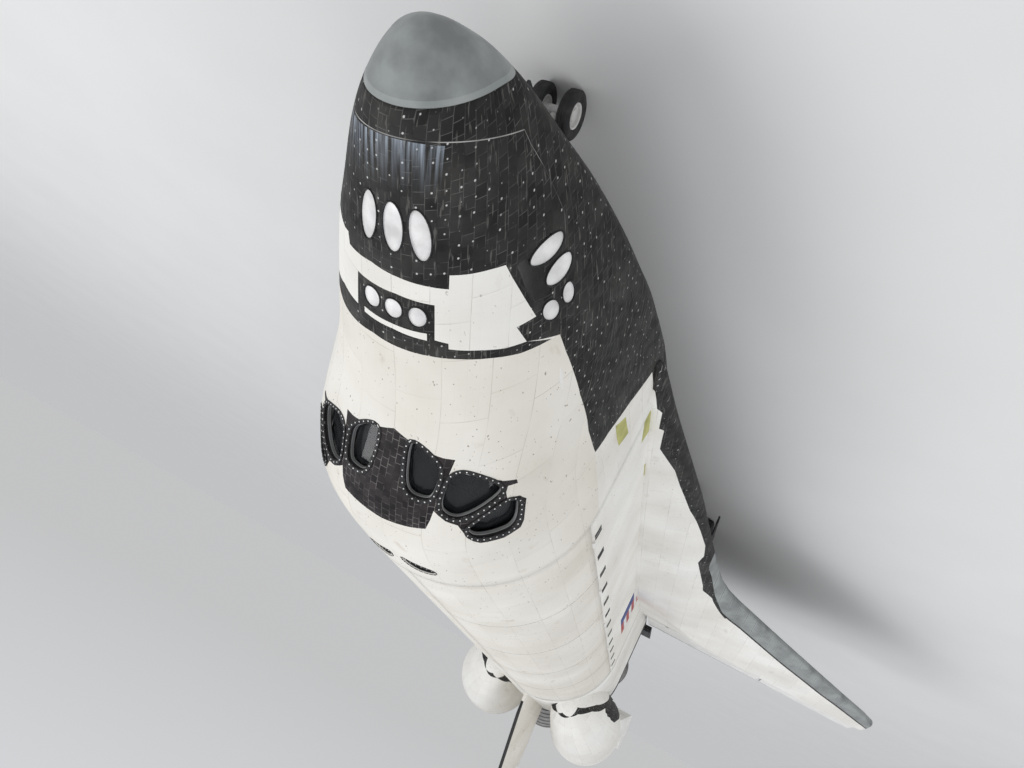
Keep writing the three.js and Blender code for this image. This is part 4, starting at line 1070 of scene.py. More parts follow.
@dataclass
class ForwardFuselage:
    """The fuselage from the nose cap to the front of the bay."""

    end: float = 8658.0
    well: tuple[float, float, float] = (1690.0, 3870.0, 440.0)
    hatch: tuple[float, float, float] = (6900.0, 2350.0, 508.0)
    # places as aft, to port and up
    white_edge: tuple = (
        (2353, -972, 3068), (2374, -1162, 2895), (2400, -1297, 2741), (2590, -1376, 2767), (2943, -1511, 2781),
        (3308, -1648, 2785), (3308, -1489, 3045), (3598, -1602, 3042), (3831, -1881, 2637), (4195, -1976, 2681),
        (4597, -2077, 2715), (5123, -2208, 2813), (5677, -2350, 2920), (6604, -2496, 3018), (6726, -2530, 2498),
        (6996, -2550, 1748), (7383, -2576, 836), (8660, -2640, 815),
    )
    tongue_starboard: tuple = ((2406, -75, 3452), (2463, -496, 3396), (2508, -761, 3298), (2326, -758, 3206))
    tongue_port: tuple = ((2400, 0, 3452), (2373, 331, 3401), (2449, 824, 3229), (2315, 864, 3132))
    band_front: tuple = (
        (3560, 1640, 2960), (3440, 1450, 3180), (3230, 1083, 3434), (3186, 675, 3659), (3182, 378, 3756),
        (3226, -113, 3816), (3314, -598, 3748), (3375, -782, 3693), (3460, -1145, 3493), (3550, -1404, 3283),
        (3598, -1602, 3042),
    )
    band_rear: tuple = (
        (3800, -1820, 2760), (3732, -1558, 3184), (3627, -1260, 3472), (3548, -924, 3691), (3494, -545, 3845),
        (3464, -120, 3916), (3444, 379, 3869), (3579, 1027, 3638), (3650, 1350, 3400), (3732, 1600, 3150),
        (3810, 1820, 2760),
    )
    patch: tuple = (
        (2678, 633, 3444), (2660, 300, 3520), (2650, -68, 3561), (2721, -599, 3478), (3235, -606, 3710),
        (3289, -780, 3656), (3395, -782, 3693), (3246, -113, 3816), (3202, 378, 3756), (3206, 675, 3659),
    )
    bar: tuple = ((3123, 519), (3118, 0), (3145, -504), (3250, -505), (3192, 0), (3206, 528))
    hollow: tuple = (
        (2323, -1576, 1960), (2300, -1537, 2102), (2342, -1500, 2287), (2450, -1400, 2620), (2534, -1374, 2728),
        (2717, -1446, 2740), (3091, -1609, 2706), (3150, -1742, 2472),
    )
    # centre and two paired half diameters, aft and to port on the crown, aft and up on the side
    crown_ports: tuple = (
        ((1774, 359), (315, 2), (93, 160)), ((1780, -35), (315, -30), (58, 154)),
        ((1830, -398), (323, -65), (36, 134)), ((2881, 362), (106, -96), (116, 130)),
        ((2888, -10), (102, -102), (108, 112)), ((2924, -370), (114, -94), (99, 99)),
    )
    side_ports: tuple = (
        ((2562, 2208), (-27, -306), (141, -36)), ((2933, 2199), (-70, -263), (150, -62)),
        ((3349, 2241), (-132, -97), (98, -79)), ((3381, 2577), (-93, -121), (137, -66)),
    )
    # aft and sideways, for one side
    surround: tuple = (
        (4854, 0), (4904, 147), (4951, 294), (4973, 476), (5054, 655), (5096, 830), (5123, 1005), (5329, 964),
        (5500, 925), (5769, 875), (6103, 785), (6158, 445), (6210, 0),
    )
    side_surround: tuple = (
        (5329, 964), (5293, 1125), (5375, 1382), (5529, 1679), (5527, 1663), (5608, 1838), (5668, 1864),
        (5637, 1760), (5710, 1760), (5804, 1797), (5861, 1930), (5986, 2010), (6385, 2035), (6519, 2010),
        (6571, 1842), (6491, 1566), (6397, 1471), (6173, 1340), (6012, 1251), (5926, 1079), (5824, 944),
        (5769, 875),
    )
    windows: tuple = (
        ((4970, 262), (4965, 425), (5185, 795), (5340, 850), (5600, 800), (5640, 700), (5600, 420), (5400, 310)),
        ((5305, 1060), (5315, 1230), (5500, 1575), (5640, 1700), (5730, 1700), (5905, 1310), (5870, 1110),
         (5730, 950), (5400, 985)),
        ((5840, 1790), (5900, 1910), (6010, 1955), (6310, 1975), (6425, 1930), (6440, 1850), (6370, 1530),
         (6200, 1395), (6070, 1415)),
        ((7500, 110), (7650, 340), (7780, 670), (8000, 680), (8070, 560), (8070, 320), (7840, 150)),
    )
    # the seam behind the thruster module, and how it runs on along the side: aft, to port and up
    module_front: float = 875.0
    module_lean: float = math.radians(24.5)
    module_foot: float = 1640.0
    side_seam: tuple = (
        (1206, -1133, 1640), (1368, -1202, 1669), (1744, -1364, 1659), (2139, -1525, 1701), (2422, -1639, 1754),
    )
    # the sooted hollow ahead of the side ports, and the yellow patches: aft, to port and up
    sooted: tuple = (
        (2470, -1400, 2650), (2407, -1517, 2318), (2378, -1583, 2044), (2453, -1615, 2041), (2459, -1561, 2256),
        (2510, -1521, 2426), (2569, -1513, 2504), (2726, -1612, 2409), (2861, -1659, 2406), (3036, -1712, 2421),
        (3128, -1690, 2561), (3123, -1629, 2690), (2833, -1508, 2714),
    )
    yellow: tuple = ((6884, -2538, 2327), (7177, -2562, 1964), (7863, -2602, 1945), (7672, -2593, 2337))

    def zones(self, sheet: Sheet) -> None:
        """Marks the zones.

        The numbers are 1 black, 2 white, 3 window surround, 4 dark joints, 5 hollow, 6 yellow and 7 worn seam.

        Args:
            sheet: The flat sheet of the skin.
        """
        top, low, high = HULL.HALF_TURN, 0.0, 2 * HULL.HALF_TURN
        rear = HULL.on_skin(self.band_rear)
        lead, tail = math.sqrt(1900.0), math.sqrt(3810.0)
        sheet.mark([(lead, low), (lead, high), (tail, high), *rear, (tail, low)], 2)
        end = math.sqrt(self.end + 4)
        edge = HULL.on_skin(self.white_edge)
        for side in (-1, 1):
            flank = edge if side < 0 else HULL.other_side(edge)
            belly = high if side < 0 else low
            sheet.mark([*flank[13:], (end, HULL.on_side([(self.end, 3302)], side)[0][1])], 2)
            tongue = HULL.on_skin(self.tongue_starboard if side < 0 else self.tongue_port)
            sheet.mark([(0.0, top), (math.sqrt(2403.0), top), *tongue, *flank, (end, belly), (0.0, belly)], 1)
        sheet.mark([*HULL.on_skin(self.band_front), *rear], 1)
        sheet.mark(HULL.on_skin(self.patch), 1)
        sheet.mark(HULL.on_crown(self.bar), 2)
        for outline in (self.surround, self.side_surround):
            half = HULL.on_crown(outline)
            sheet.mark([*half, *HULL.other_side(half)[::-1]] if outline is self.surround else half, 3)
            if outline is self.side_surround:
                sheet.mark(HULL.other_side(half), 3)
        for outline, number in ((self.sooted, 5), (self.yellow, 6)):
            shape = HULL.on_skin(outline)
            sheet.mark(shape, number)
            sheet.mark(HULL.other_side(shape), number)
        for path, number, width in ((self.hollow, 4, 0.16), (self.side_seam, 7, 0.13)):
            for strip in strips(HULL.on_skin(path), width):
                sheet.mark(strip, number)
                sheet.mark(HULL.other_side(strip), number)

    def openings(self, sheet: Sheet) -> None:
        """Marks the holes: windows, thruster ports, wheel well and hatch."""
        for outline in self.windows:
            hole = HULL.on_crown(rounded(outline))
            sheet.mark(hole, -1)
            sheet.mark(HULL.other_side(hole), -1)
        for hole in self.ports():
            sheet.mark(hole, -1)
        front, back, half = self.well
        for side in (1, -1):
            edge = [(front, 0), (back, 0), (back, half * side), (front, half * side)]
            hole = HULL.on_belly(edge)
            if side < 0:
                hole = [(x, 2 * HULL.HALF_TURN if y < 1.0 else y) for x, y in hole]
            sheet.mark(hole, -1)
        sheet.mark(HULL.on_side(self.hatch_ring(self.hatch[2]), 1), -1)

    def hatch_ring(self, radius: float) -> list[tuple[float, float]]:
        """A circle round the hatch's middle, aft and up."""
        aft, z, _ = self.hatch
        return oval((aft, z), (radius, 0), (0, radius), 40)

    def ports(self) -> list[list[tuple[float, float]]]:
        """Sheet outlines of every thruster port."""
        found = [HULL.on_crown(oval(*port)) for port in self.crown_ports]
        for port in self.side_ports:
            for side in (1, -1):
                found.append(HULL.on_side(oval(*port), side))
        return found

    def skin(self) -> None:
        """Makes the skin with its zones and openings."""
        skin = HullSkin((100.0, self.end), (0.0, 8.0))
        self.zones(skin.sheet)
        self.openings(skin.sheet)
        bm = skin.lay()
        bmesh.ops.remove_doubles(bm, verts=bm.verts, dist=0.5)
        leaned_cut(bm, Nose.cap_aft + 2, Nose.cap_z, Nose.lean, clear_inner=True)
        seam_between(bm, self.module_front - 6, self.module_front + 7, 7, self.module_lean, self.module_foot)
        finishes = [
            Finishes.BLANKET, Finishes.BLACK_TILE, Finishes.PANEL, Finishes.SURROUND, Finishes.JOINT, Finishes.HOLLOW,
            Finishes.YELLOW, Finishes.WORN_SEAM,
        ]
        hand_over(
            bm, "forward_skin", finishes, "airframe", ["thruster_module", "forward_fuselage_upper"],
            wall=HullSkin.WALL,
        )

    def covers(self) -> None:
        """Makes the sunken covers of the thruster ports."""
        parts = []
        for outline in self.ports():
            loop = SkinLoop(outline)
            parts.append(loop.build(
                ((9, 3, 0), (5, 9, 1), (-3, 9, 1), (-7, -16, 1), (-15, -19, 0), (-30, -15, 0)), closed=True,
            ))
        hand_over(merged(*parts), "thruster_covers", [Finishes.COVER, Finishes.JOINT], "airframe", wall=6.0)

    def frames(self) -> None:
        """Makes the window frames with their fastener heads, and the dark reveals behind."""
        rings, heads = [], []
        for number, outline in enumerate(self.windows):
            hole = HULL.on_crown(rounded(outline))
            for shape in (hole, HULL.other_side(hole)):
                loop = SkinLoop(shape)
                wide = 74 if number < 3 else 40
                rings.append(loop.build((
                    (wide, 2, 0), (wide - 6, 11, 0), (14, 11, 0), (5, 3, 0), (0, -20, 0), (-3, -58, 0),
                    (-13, -63, 1), (-16, -92, 1), (-19, -112, 1), (-24, -122, 0),
                )))
                heads += loop.dots(0.5 * wide + 2, 12, 104.0, 14.0)
        hand_over(merged(*rings), "window_frames", [Finishes.JOINT, Finishes.SILL], "airframe", wall=4.0)
        hand_over(merged(*heads), "window_fasteners", [Finishes.COVER], "airframe", smooth=False)

    def hatch_cover(self) -> None:
        """Makes the round hatch's outer skin with its small window."""
        aft, z, radius = self.hatch
        around = HullSkin((aft - 600, aft + 600), (HULL.side_turn(aft, z - 600), HULL.side_turn(aft, z + 600)), 0.5)
        (x0, y0), (x1, y1) = [
            (f(v.co.x for v in around.sheet.bm.verts), f(v.co.y for v in around.sheet.bm.verts)) for f in (min, max)
        ]
        around.sheet.mark([(x0 - 1, y0 - 1), (x1 + 1, y0 - 1), (x1 + 1, y1 + 1), (x0 - 1, y1 + 1)], -1)
        for reach, number in ((radius - 14, 0), (radius - 60, 2), (radius - 68, 0), (170, 1), (120, 3)):
            around.sheet.mark(HULL.on_side(self.hatch_ring(reach), 1), number)
        finishes = [Finishes.PANEL, Finishes.BLACK_TILE, Finishes.JOINT, Finishes.GLASS]
        hand_over(around.lay(), "hatch_skin", finishes, "crew_hatch", wall=HullSkin.WALL)

    def build(self) -> None:
        """Makes every piece of the forward fuselage."""
        self.skin()
        self.covers()
        self.frames()
        self.hatch_cover()


def seam_between(
    bm: BMesh, near: float, far: float, number: int, lean: float, foot: float = 0.0, z: float = Nose.cap_z,
) -> None:
    """Gives a narrow belt between two leaned planes a material number.

    Args:
        bm: The skin.
        near: How far aft the front plane lies at the height z.
        far: How far aft the rear plane lies there.
        number: The belt's material number.
        lean: The planes' lean from upright.
        foot: Height that the belt ends at.
        z: Height at which the two distances are given.
    """
    low, high = (at(aft, 0.0, z).dot(leaned_cut(bm, aft, z, lean)) for aft in (near, far))
    normal = Vector((-math.cos(lean), 0.0, math.sin(lean)))
    for face in bm.faces:
        centre = face.calc_center_median()
        if low < centre.dot(normal) < high and centre.z > foot:
            face.material_index = number


@dataclass
class MidFuselage:
    """The sides and belly beside the bay, and the bay's two doors."""

    front: float = 8662.0
    back: float = 27228.0
    sill: float = 3640.0
    # a place on the sill line, aft and out
    sill_place: tuple[float, float] = (13000.0, 2618.0)
    gap: float = 8.0
    hinge_marks: tuple[int, float, float] = (12, 9500.0, 1500.0)
    patches: tuple = (
        ((8700, 957), (9633, 902), (9457, 1393), (8524, 1249)),
        ((11381, 844), (11979, 856), (11730, 1201), (11084, 1183)),
    )

    def build(self) -> None:
        """Makes the trough's skin and the doors' skins."""
        sill_turn = HULL.turn_at(*self.sill_place, self.sill)
        skin = HullSkin((self.front, self.back), (-sill_turn, sill_turn), 2.2)
        sheet = skin.sheet
        near, far = math.sqrt(self.front) - 1, math.sqrt(self.back) + 1
        low = HULL.flat_turn(BELLY_TURN)
        sheet.mark([(near, -low), (far, -low), (far, low), (near, low)], 1)
        count, first, step = self.hinge_marks
        wrap = 2 * HULL.HALF_TURN
        for side in (1, -1):
            starts = [first + step * i for i in range(count)]
            marks = [([(aft, 3290), (aft + 330, 3290), (aft + 330, 3560), (aft, 3560)], 1) for aft in starts]
            marks += [(list(patch), 3) for patch in self.patches]
            for outline, number in marks:
                shape = HULL.on_side(outline, side)
                sheet.mark([(x, y - wrap if side < 0 else y) for x, y in shape], number)
        bm = skin.lay()
        finishes = [Finishes.PANEL, Finishes.BLACK_TILE, Finishes.JOINT, Finishes.YELLOW]
        hand_over(bm, "mid_skin", finishes, "airframe", wall=HullSkin.WALL)
        self.doors(HULL.turn_at(*self.sill_place, self.sill + self.gap))
        self.stripes()

    def doors(self, foot: float) -> None:
        """Makes the skins of the bay doors, with their panel joints."""
        for side, name in sides():
            span = (foot, 3.999) if side > 0 else (4.001, 8.0 - foot)
            door = HullSkin((self.front + 6, self.back - 6), span, 2.2)
            for i in range(1, 5):
                root = math.sqrt(self.front + (self.back - self.front) * i / 5)
                door.sheet.mark([(root, 0), (root + 0.07, 0), (root + 0.07, 168), (root, 168)], 1)
            hand_over(
                door.lay(), f"bay_door_skin_{name}", [Finishes.BLANKET, Finishes.JOINT], f"bay_door_{name}",
                wall=HullSkin.WALL,
            )

    def stripes(self) -> None:
        """Makes a generic striped panel on each side of the hull."""
        for side, name in sides():
            around = HullSkin((21700.0, 24100.0), (2.2, 2.8) if side > 0 else (5.2, 5.8), 0.8)
            low, high = (f(v.co.y for v in around.sheet.bm.verts) for f in (min, max))
            count = 9
            for i in range(0, count, 2):
                y0, y1 = low + (high - low) * i / count, low + (high - low) * (i + 1) / count
                around.sheet.mark([(0, y0), (200, y0), (200, y1), (0, y1)], 1)
            top = (low, low + (high - low) * 0.55) if side < 0 else (low + (high - low) * 0.45, high)
            around.sheet.mark([(0, top[0]), (math.sqrt(22650), top[0]), (math.sqrt(22650), top[1]), (0, top[1])], 2)
            finishes = [Finishes.COVER, Finishes.RED, Finishes.BLUE]
            hand_over(around.lay(HullSkin.LIFT + 3), f"stripe_panel_{name}", finishes, "airframe", wall=3.0)


@dataclass
class AftFuselage:
    """The fuselage behind the bay."""

    front: float = 27232.0
    back: float = 32150.0
    umbilical: tuple = (27636.0, 28914.0, 1130.0, 2444.0)

    def build(self) -> None:
        """Makes the skin."""
        skin = HullSkin((self.front, self.back), (0.0, 8.0), 1.7)
        sheet = skin.sheet
        near, far, wrap = math.sqrt(self.front) - 1, math.sqrt(self.back) + 1, 2 * HULL.HALF_TURN
        low = HULL.flat_turn(BELLY_TURN)
        for y0, y1 in ((-1.0, low), (wrap - low, wrap + 1)):
            sheet.mark([(near, y0), (far, y0), (far, y1), (near, y1)], 1)
        edge = math.sqrt(self.back - 420)
        sheet.mark([(edge, -1), (far, -1), (far, wrap + 1), (edge, wrap + 1)], 1)
        a0, a1, inner, outer = self.umbilical
        for side in (1, -1):
            corners = ((a0, inner), (a1, inner), (a1, outer), (a0, outer))
            sheet.mark(HULL.on_belly([(aft, y * side) for aft, y in corners]), -1)
        bm = skin.lay(14.0)
        bmesh.ops.remove_doubles(bm, verts=bm.verts, dist=0.5)
        hand_over(bm, "aft_skin", [Finishes.PANEL, Finishes.BLACK_TILE], "airframe", wall=HullSkin.WALL)


def frame_of(origin: Vector, along: Vector, across: Vector) -> Matrix:
    """A turn and shift that takes x along a direction, y across it, and the origin to a place."""
    x = along.normalized()
    y = (across - x * across.dot(x)).normalized()
    z = x.cross(y)
    return Matrix.Translation(origin) @ Matrix((x, y, z)).transposed().to_4x4()


def spun(outline: Outline, origin: Vector, along: Vector, steps: int = 64, closed: bool = True) -> BMesh:
    """Turns an outline of distances along an axis and radii into a solid.

    Args:
        outline: Distance and radius pairs.
        origin: Where distance 0 lies.
        along: The axis.
        steps: How many steps make the turn.
        closed: Whether the outline's last point joins its first.

    Returns:
        The mesh in space.
    """
    bm = bmesh.new()
    verts = [bm.verts.new((x, max(r, 0.0), 0.0)) for x, r in outline]
    pairs = list(zip(verts, verts[1:]))
    if closed:
        pairs.append((verts[-1], verts[0]))
    edges = [bm.edges.new(pair) for pair in pairs]
    bmesh.ops.spin(
        bm, geom=verts + edges, axis=(1, 0, 0), cent=(0, 0, 0), angle=2 * math.pi, steps=steps, use_merge=True,
    )
    bmesh.ops.remove_doubles(bm, verts=bm.verts, dist=0.05)
    bmesh.ops.recalc_face_normals(bm, faces=bm.faces)
    across = Vector((0, 1, 0)) if abs(along.normalized().y) < 0.9 else Vector((0, 0, 1))
    bmesh.ops.transform(bm, matrix=frame_of(origin, along, across), verts=bm.verts)
    return bm


def merged(*parts: BMesh) -> BMesh:
    """Joins meshes into the first of them, keeping their material numbers and maps."""
    whole = parts[0]
    for part in parts[1:]:
        kept = bpy.data.meshes.new("part")
        part.to_mesh(kept)
        part.free()
        whole.from_mesh(kept)
        bpy.data.meshes.remove(kept)
    return whole


def rod(start: Vector, end: Vector, radius: float, end_radius: float | None = None, steps: int = 32) -> BMesh:
    """A round bar with softened ends between two places."""
    way = end - start
    tip = radius if end_radius is None else end_radius
    soft = min(radius, tip) * 0.12
    outline = [
        (0, 0), (0, radius - soft), (soft, radius), (way.length - soft, tip), (way.length, tip - soft), (way.length, 0),
    ]
    return spun(outline, start, way, steps, closed=False)


def box(place: Matrix, low: Vector, high: Vector, bevel: float = 0.0) -> BMesh:
    """A box with softened edges between two corners in a turned frame."""
    bm = bmesh.new()
    size = high - low
    bmesh.ops.create_cube(bm, size=1.0)
    bmesh.ops.scale(bm, vec=size, verts=bm.verts)
    bmesh.ops.translate(bm, vec=(low + high) / 2, verts=bm.verts)
    if bevel:
        bmesh.ops.bevel(
            bm, geom=bm.edges[:], offset=bevel, offset_type="OFFSET", segments=2, profile=0.5,
            affect="EDGES", material=-1,
        )
    bmesh.ops.transform(bm, matrix=place, verts=bm.verts)
    return bm


def sides() -> tuple[tuple[int, str], ...]:
    """The two sides: sign and name."""
    return ((1, "port"), (-1, "starboard"))


class WingForm:
    """The port wing's surface, placed by span in inches and a chord place.

    The chord place runs from -1 at the hinge line underneath over 0 at the leading edge to 1 on top.
    """

    # out, leading edge aft and height, lower surface height, greatest thickness
    STATIONS = (
        (90, 512, 297, 270.6, 56), (105, 527, 297, 270.8, 56), (115, 585, 296, 271, 55),
        (125, 632, 295, 271.5, 54), (140, 700, 294, 272, 52), (155, 768, 293.5, 273, 51),
        (170, 852, 293, 274, 50), (185, 936, 292.5, 275, 48), (200, 1010, 292, 276, 46),
        (214, 1043, 292, 277.5, 44), (230, 1064, 292, 279, 42), (300, 1136, 296, 284.5, 34),
        (380, 1216, 300.5, 290, 25),
        (450, 1286, 304.5, 294.5, 16.5), (468, 1310, 306, 296, 12),
    )
    # share of the chord, of the rise, of the drop, and of the way down to the hinge
    PROFILE = (
        (0, 0, 0, 0), (0.006, 0.1, 0.3, 0), (0.03, 0.22, 0.55, 0), (0.1, 0.42, 0.8, 0), (0.3, 0.74, 1, 0),
        (0.55, 0.97, 1, 0), (0.68, 1, 1, 0), (0.85, 1, 1, 0.5), (1, 1, 1, 1),
    )
    HINGE_X = 1387.0
    # inches out to one unit of the flat sheet, and the sheet's units to the whole chord
    SPAN_CELL = 4
    CHORD_CELLS = 60
    # out, depth of the carbon edge on top in millimetres
    CARBON = (
        (181, 440), (189, 405), (197, 571), (207, 746), (217, 985), (229, 985), (244, 915), (320, 930), (351, 868),
        (385, 807), (410, 715), (470, 600),
    )

    def __init__(self) -> None:
        """Prepares the straight and smooth tables."""
        self.stations = StraightTable(self.STATIONS)
        self.carbon = StraightTable(self.CARBON)
        self.profile = SmoothTable(self.PROFILE, rooted=True)

    @staticmethod
    def hinge_z(span: float) -> float:
        """Height of the hinge line in inches."""
        return 283.7 + (span - 118) * 0.04783

    @staticmethod
    def hinge_radius(span: float) -> float:
        """Radius of the elevon's nose in inches."""
        return 12.5 - (span - 118) * 0.0229

    def bare(self, span: float, chord: float) -> Vector:
        """A place on the surface."""
        edge_x, edge_z, low, thick = self.stations(span)
        radius = self.hinge_radius(span)
        share = chord * chord
        rise, drop, fall = self.profile(share)
        end = self.HINGE_X - 0.5 * radius
        crest = low + thick
        if chord >= 0:
            tail = self.hinge_z(span) + radius
            z = edge_z + (crest - edge_z) * rise + (tail - crest) * fall
        else:
            tail = self.hinge_z(span) - radius
            z = edge_z - (edge_z - low) * drop + (tail - low) * fall
        x = edge_x + share * (end - edge_x)
        return at((x - NOSE_STATION) * INCH, span * INCH, (z - BELLY_HEIGHT) * INCH)

    def point(self, span: float, chord: float, lift: float = 0.0) -> Vector:
        """A place lifted off the surface."""
        here = self.bare(span, chord)
        if not lift:
            return here
        step = 0.004
        out = self.bare(span + 1.0, chord) - self.bare(span - 1.0, chord)
        back = self.bare(span, min(chord + step, 1.0)) - self.bare(span, max(chord - step, -1.0))
        return here + back.cross(out).normalized() * lift

    def sheet_place(self, aft: float, y: float, under: bool = False) -> tuple[float, float]:
        """Sheet coordinates of a place seen in plan, in millimetres aft and out."""
        span = y / INCH
        edge = self.stations(span)[0]
        end = self.HINGE_X - 0.5 * self.hinge_radius(span)
        share = min(max((aft / INCH + NOSE_STATION - edge) / (end - edge), 0.0), 1.0)
        chord = math.sqrt(share)
        return span / self.SPAN_CELL, (-chord if under else chord) * self.CHORD_CELLS

    def belt(self, spans: tuple[float, float], more: float, under: float) -> list[tuple[float, float]]:
        """Sheet outline of a belt round the leading edge.

        Args:
            spans: Its two ends in inches out.
            more: How much deeper than the carbon it is on top.
            under: Its depth underneath.

        Returns:
            The outline's points.
        """
        count = max(int((spans[1] - spans[0]) / 7), 1)
        marks = [spans[0] + (spans[1] - spans[0]) * i / count for i in range(count + 1)]
        edges = [(self.stations(m)[0] - NOSE_STATION) * INCH for m in marks]
        top = [self.sheet_place(edge + self.carbon(m)[0] + more, m * INCH) for m, edge in zip(marks, edges)]
        low = [self.sheet_place(edge + under, m * INCH, True) for m, edge in zip(marks, edges)]
        return [*top, *reversed(low)]


WINGS = WingForm()


@dataclass
class Wing:
    """Both wings' skins and their carbon edges."""

    root: float = 101.0
    tip: float = 467.9
    edge_root: float = 182.0
    lift: float = 5.0
    # how far the finished skin stands off the wing
    cover: float = 21.0
    panels: int = 22
    # depth of the black belt behind the carbon on top, and of the carbon underneath
    black_depth: float = 130.0
    carbon_under: float = 262.0
    well: tuple = (19675.0, 24394.0, 2690.0, 4260.0)
    # upper edge of the black belt on the glove, aft and out
    glove: tuple = (
        (6800, 2540), (7950, 2540), (8020, 2659), (8693, 2735), (8882, 2827), (9502, 2819), (9619, 2912), (10384, 2893),
        (10963, 3086), (11471, 3261), (12251, 3428), (13667, 3772), (15003, 4121), (16141, 4348), (17317, 4444),
    )
    step: tuple = (
        (17249, 4320), (19264, 4657), (19733, 4707), (20523, 5044), (21191, 5253), (22054, 5668), (21700, 6150),
        (20700, 5720), (19500, 5300), (18300, 5060), (17300, 4900), (16900, 4600),
    )

    def belts(self, sheet: Sheet) -> None:
        """Marks the carbon edge, its joints and the black belts: 1 black, 2 carbon, 3 pale strip, 4 joint."""
        near, far, low = self.root / WINGS.SPAN_CELL - 1, self.tip / WINGS.SPAN_CELL + 1, -WINGS.CHORD_CELLS - 1
        sheet.mark([(near, low), (far, low), (far, 0), (near, 0)], 1)
        belt = [WINGS.sheet_place(aft, y) for aft, y in self.glove]
        sheet.mark([*belt, (self.edge_root / WINGS.SPAN_CELL, 0.0), (near, 0.0), (near, belt[0][1])], 1)
        sheet.mark([WINGS.sheet_place(aft, y) for aft, y in self.step], 1)
        end = self.tip + 0.09
        sheet.mark(WINGS.belt((self.edge_root + 30, end), self.black_depth, self.carbon_under + 83.0), 1)
        sheet.mark(WINGS.belt((self.edge_root, end), 0.0, self.carbon_under), 2)
        width = (self.tip - self.edge_root) / self.panels
        for i in range(1, self.panels):
            place = self.edge_root + width * i
            for half, number in ((1.1, 3), (0.16, 4)):
                sheet.mark(WINGS.belt((place - half, place + half), -4.0, self.carbon_under - 4.0), number)
        a0, a1, y0, y1 = self.well
        corners = [Vector(c) for c in ((a0, y0), (a1, y0), (a1, y1), (a0, y1))]
        rim = [a.lerp(b, i / 10) for a, b in zip(corners, [*corners[1:], corners[0]]) for i in range(10)]
        sheet.mark([WINGS.sheet_place(*place, True) for place in rim], -1)

    def surface(self, span: tuple[float, float], chord: tuple[float, float], step: float) -> BMesh:
        """A piece of the wing's surface."""
        low, high = ((s / WINGS.SPAN_CELL, c * WINGS.CHORD_CELLS) for s, c in zip(span, chord))
        sheet = Sheet(low, high, step)
        self.belts(sheet)

        def chart(x: float, y: float) -> tuple[float, float]:
            place = WINGS.bare(x * WINGS.SPAN_CELL, y / WINGS.CHORD_CELLS)
            return -place.x * MM, place.y * MM

        return sheet.lay(lambda x, y: WINGS.point(x * WINGS.SPAN_CELL, y / WINGS.CHORD_CELLS, self.lift), chart)

    def build(self) -> None:
        """Makes the port wing's skin and its mirrored copy."""
        finishes = [Finishes.PANEL, Finishes.BLACK_TILE, Finishes.CARBON, Finishes.CARBON_PALE, Finishes.JOINT]
        port = self.surface((self.root, self.tip), (-1.0, 1.0), 1.0)
        snug(port, ("wing_port", "wing_edge_port"), self.cover)
        for side, name in sides():
            skin = port.copy()
            mirror_to(skin, side)
            hand_over(skin, f"wing_skin_{name}", finishes, "airframe", wall=12.0)


def mirror_to(bm: BMesh, side: int) -> BMesh:
    """Moves a port piece to the given side, with its faces kept outwards."""
    if side < 0:
        bmesh.ops.scale(bm, vec=(1.0, -1.0, 1.0), verts=bm.verts)
        bmesh.ops.reverse_faces(bm, faces=bm.faces)
    return bm


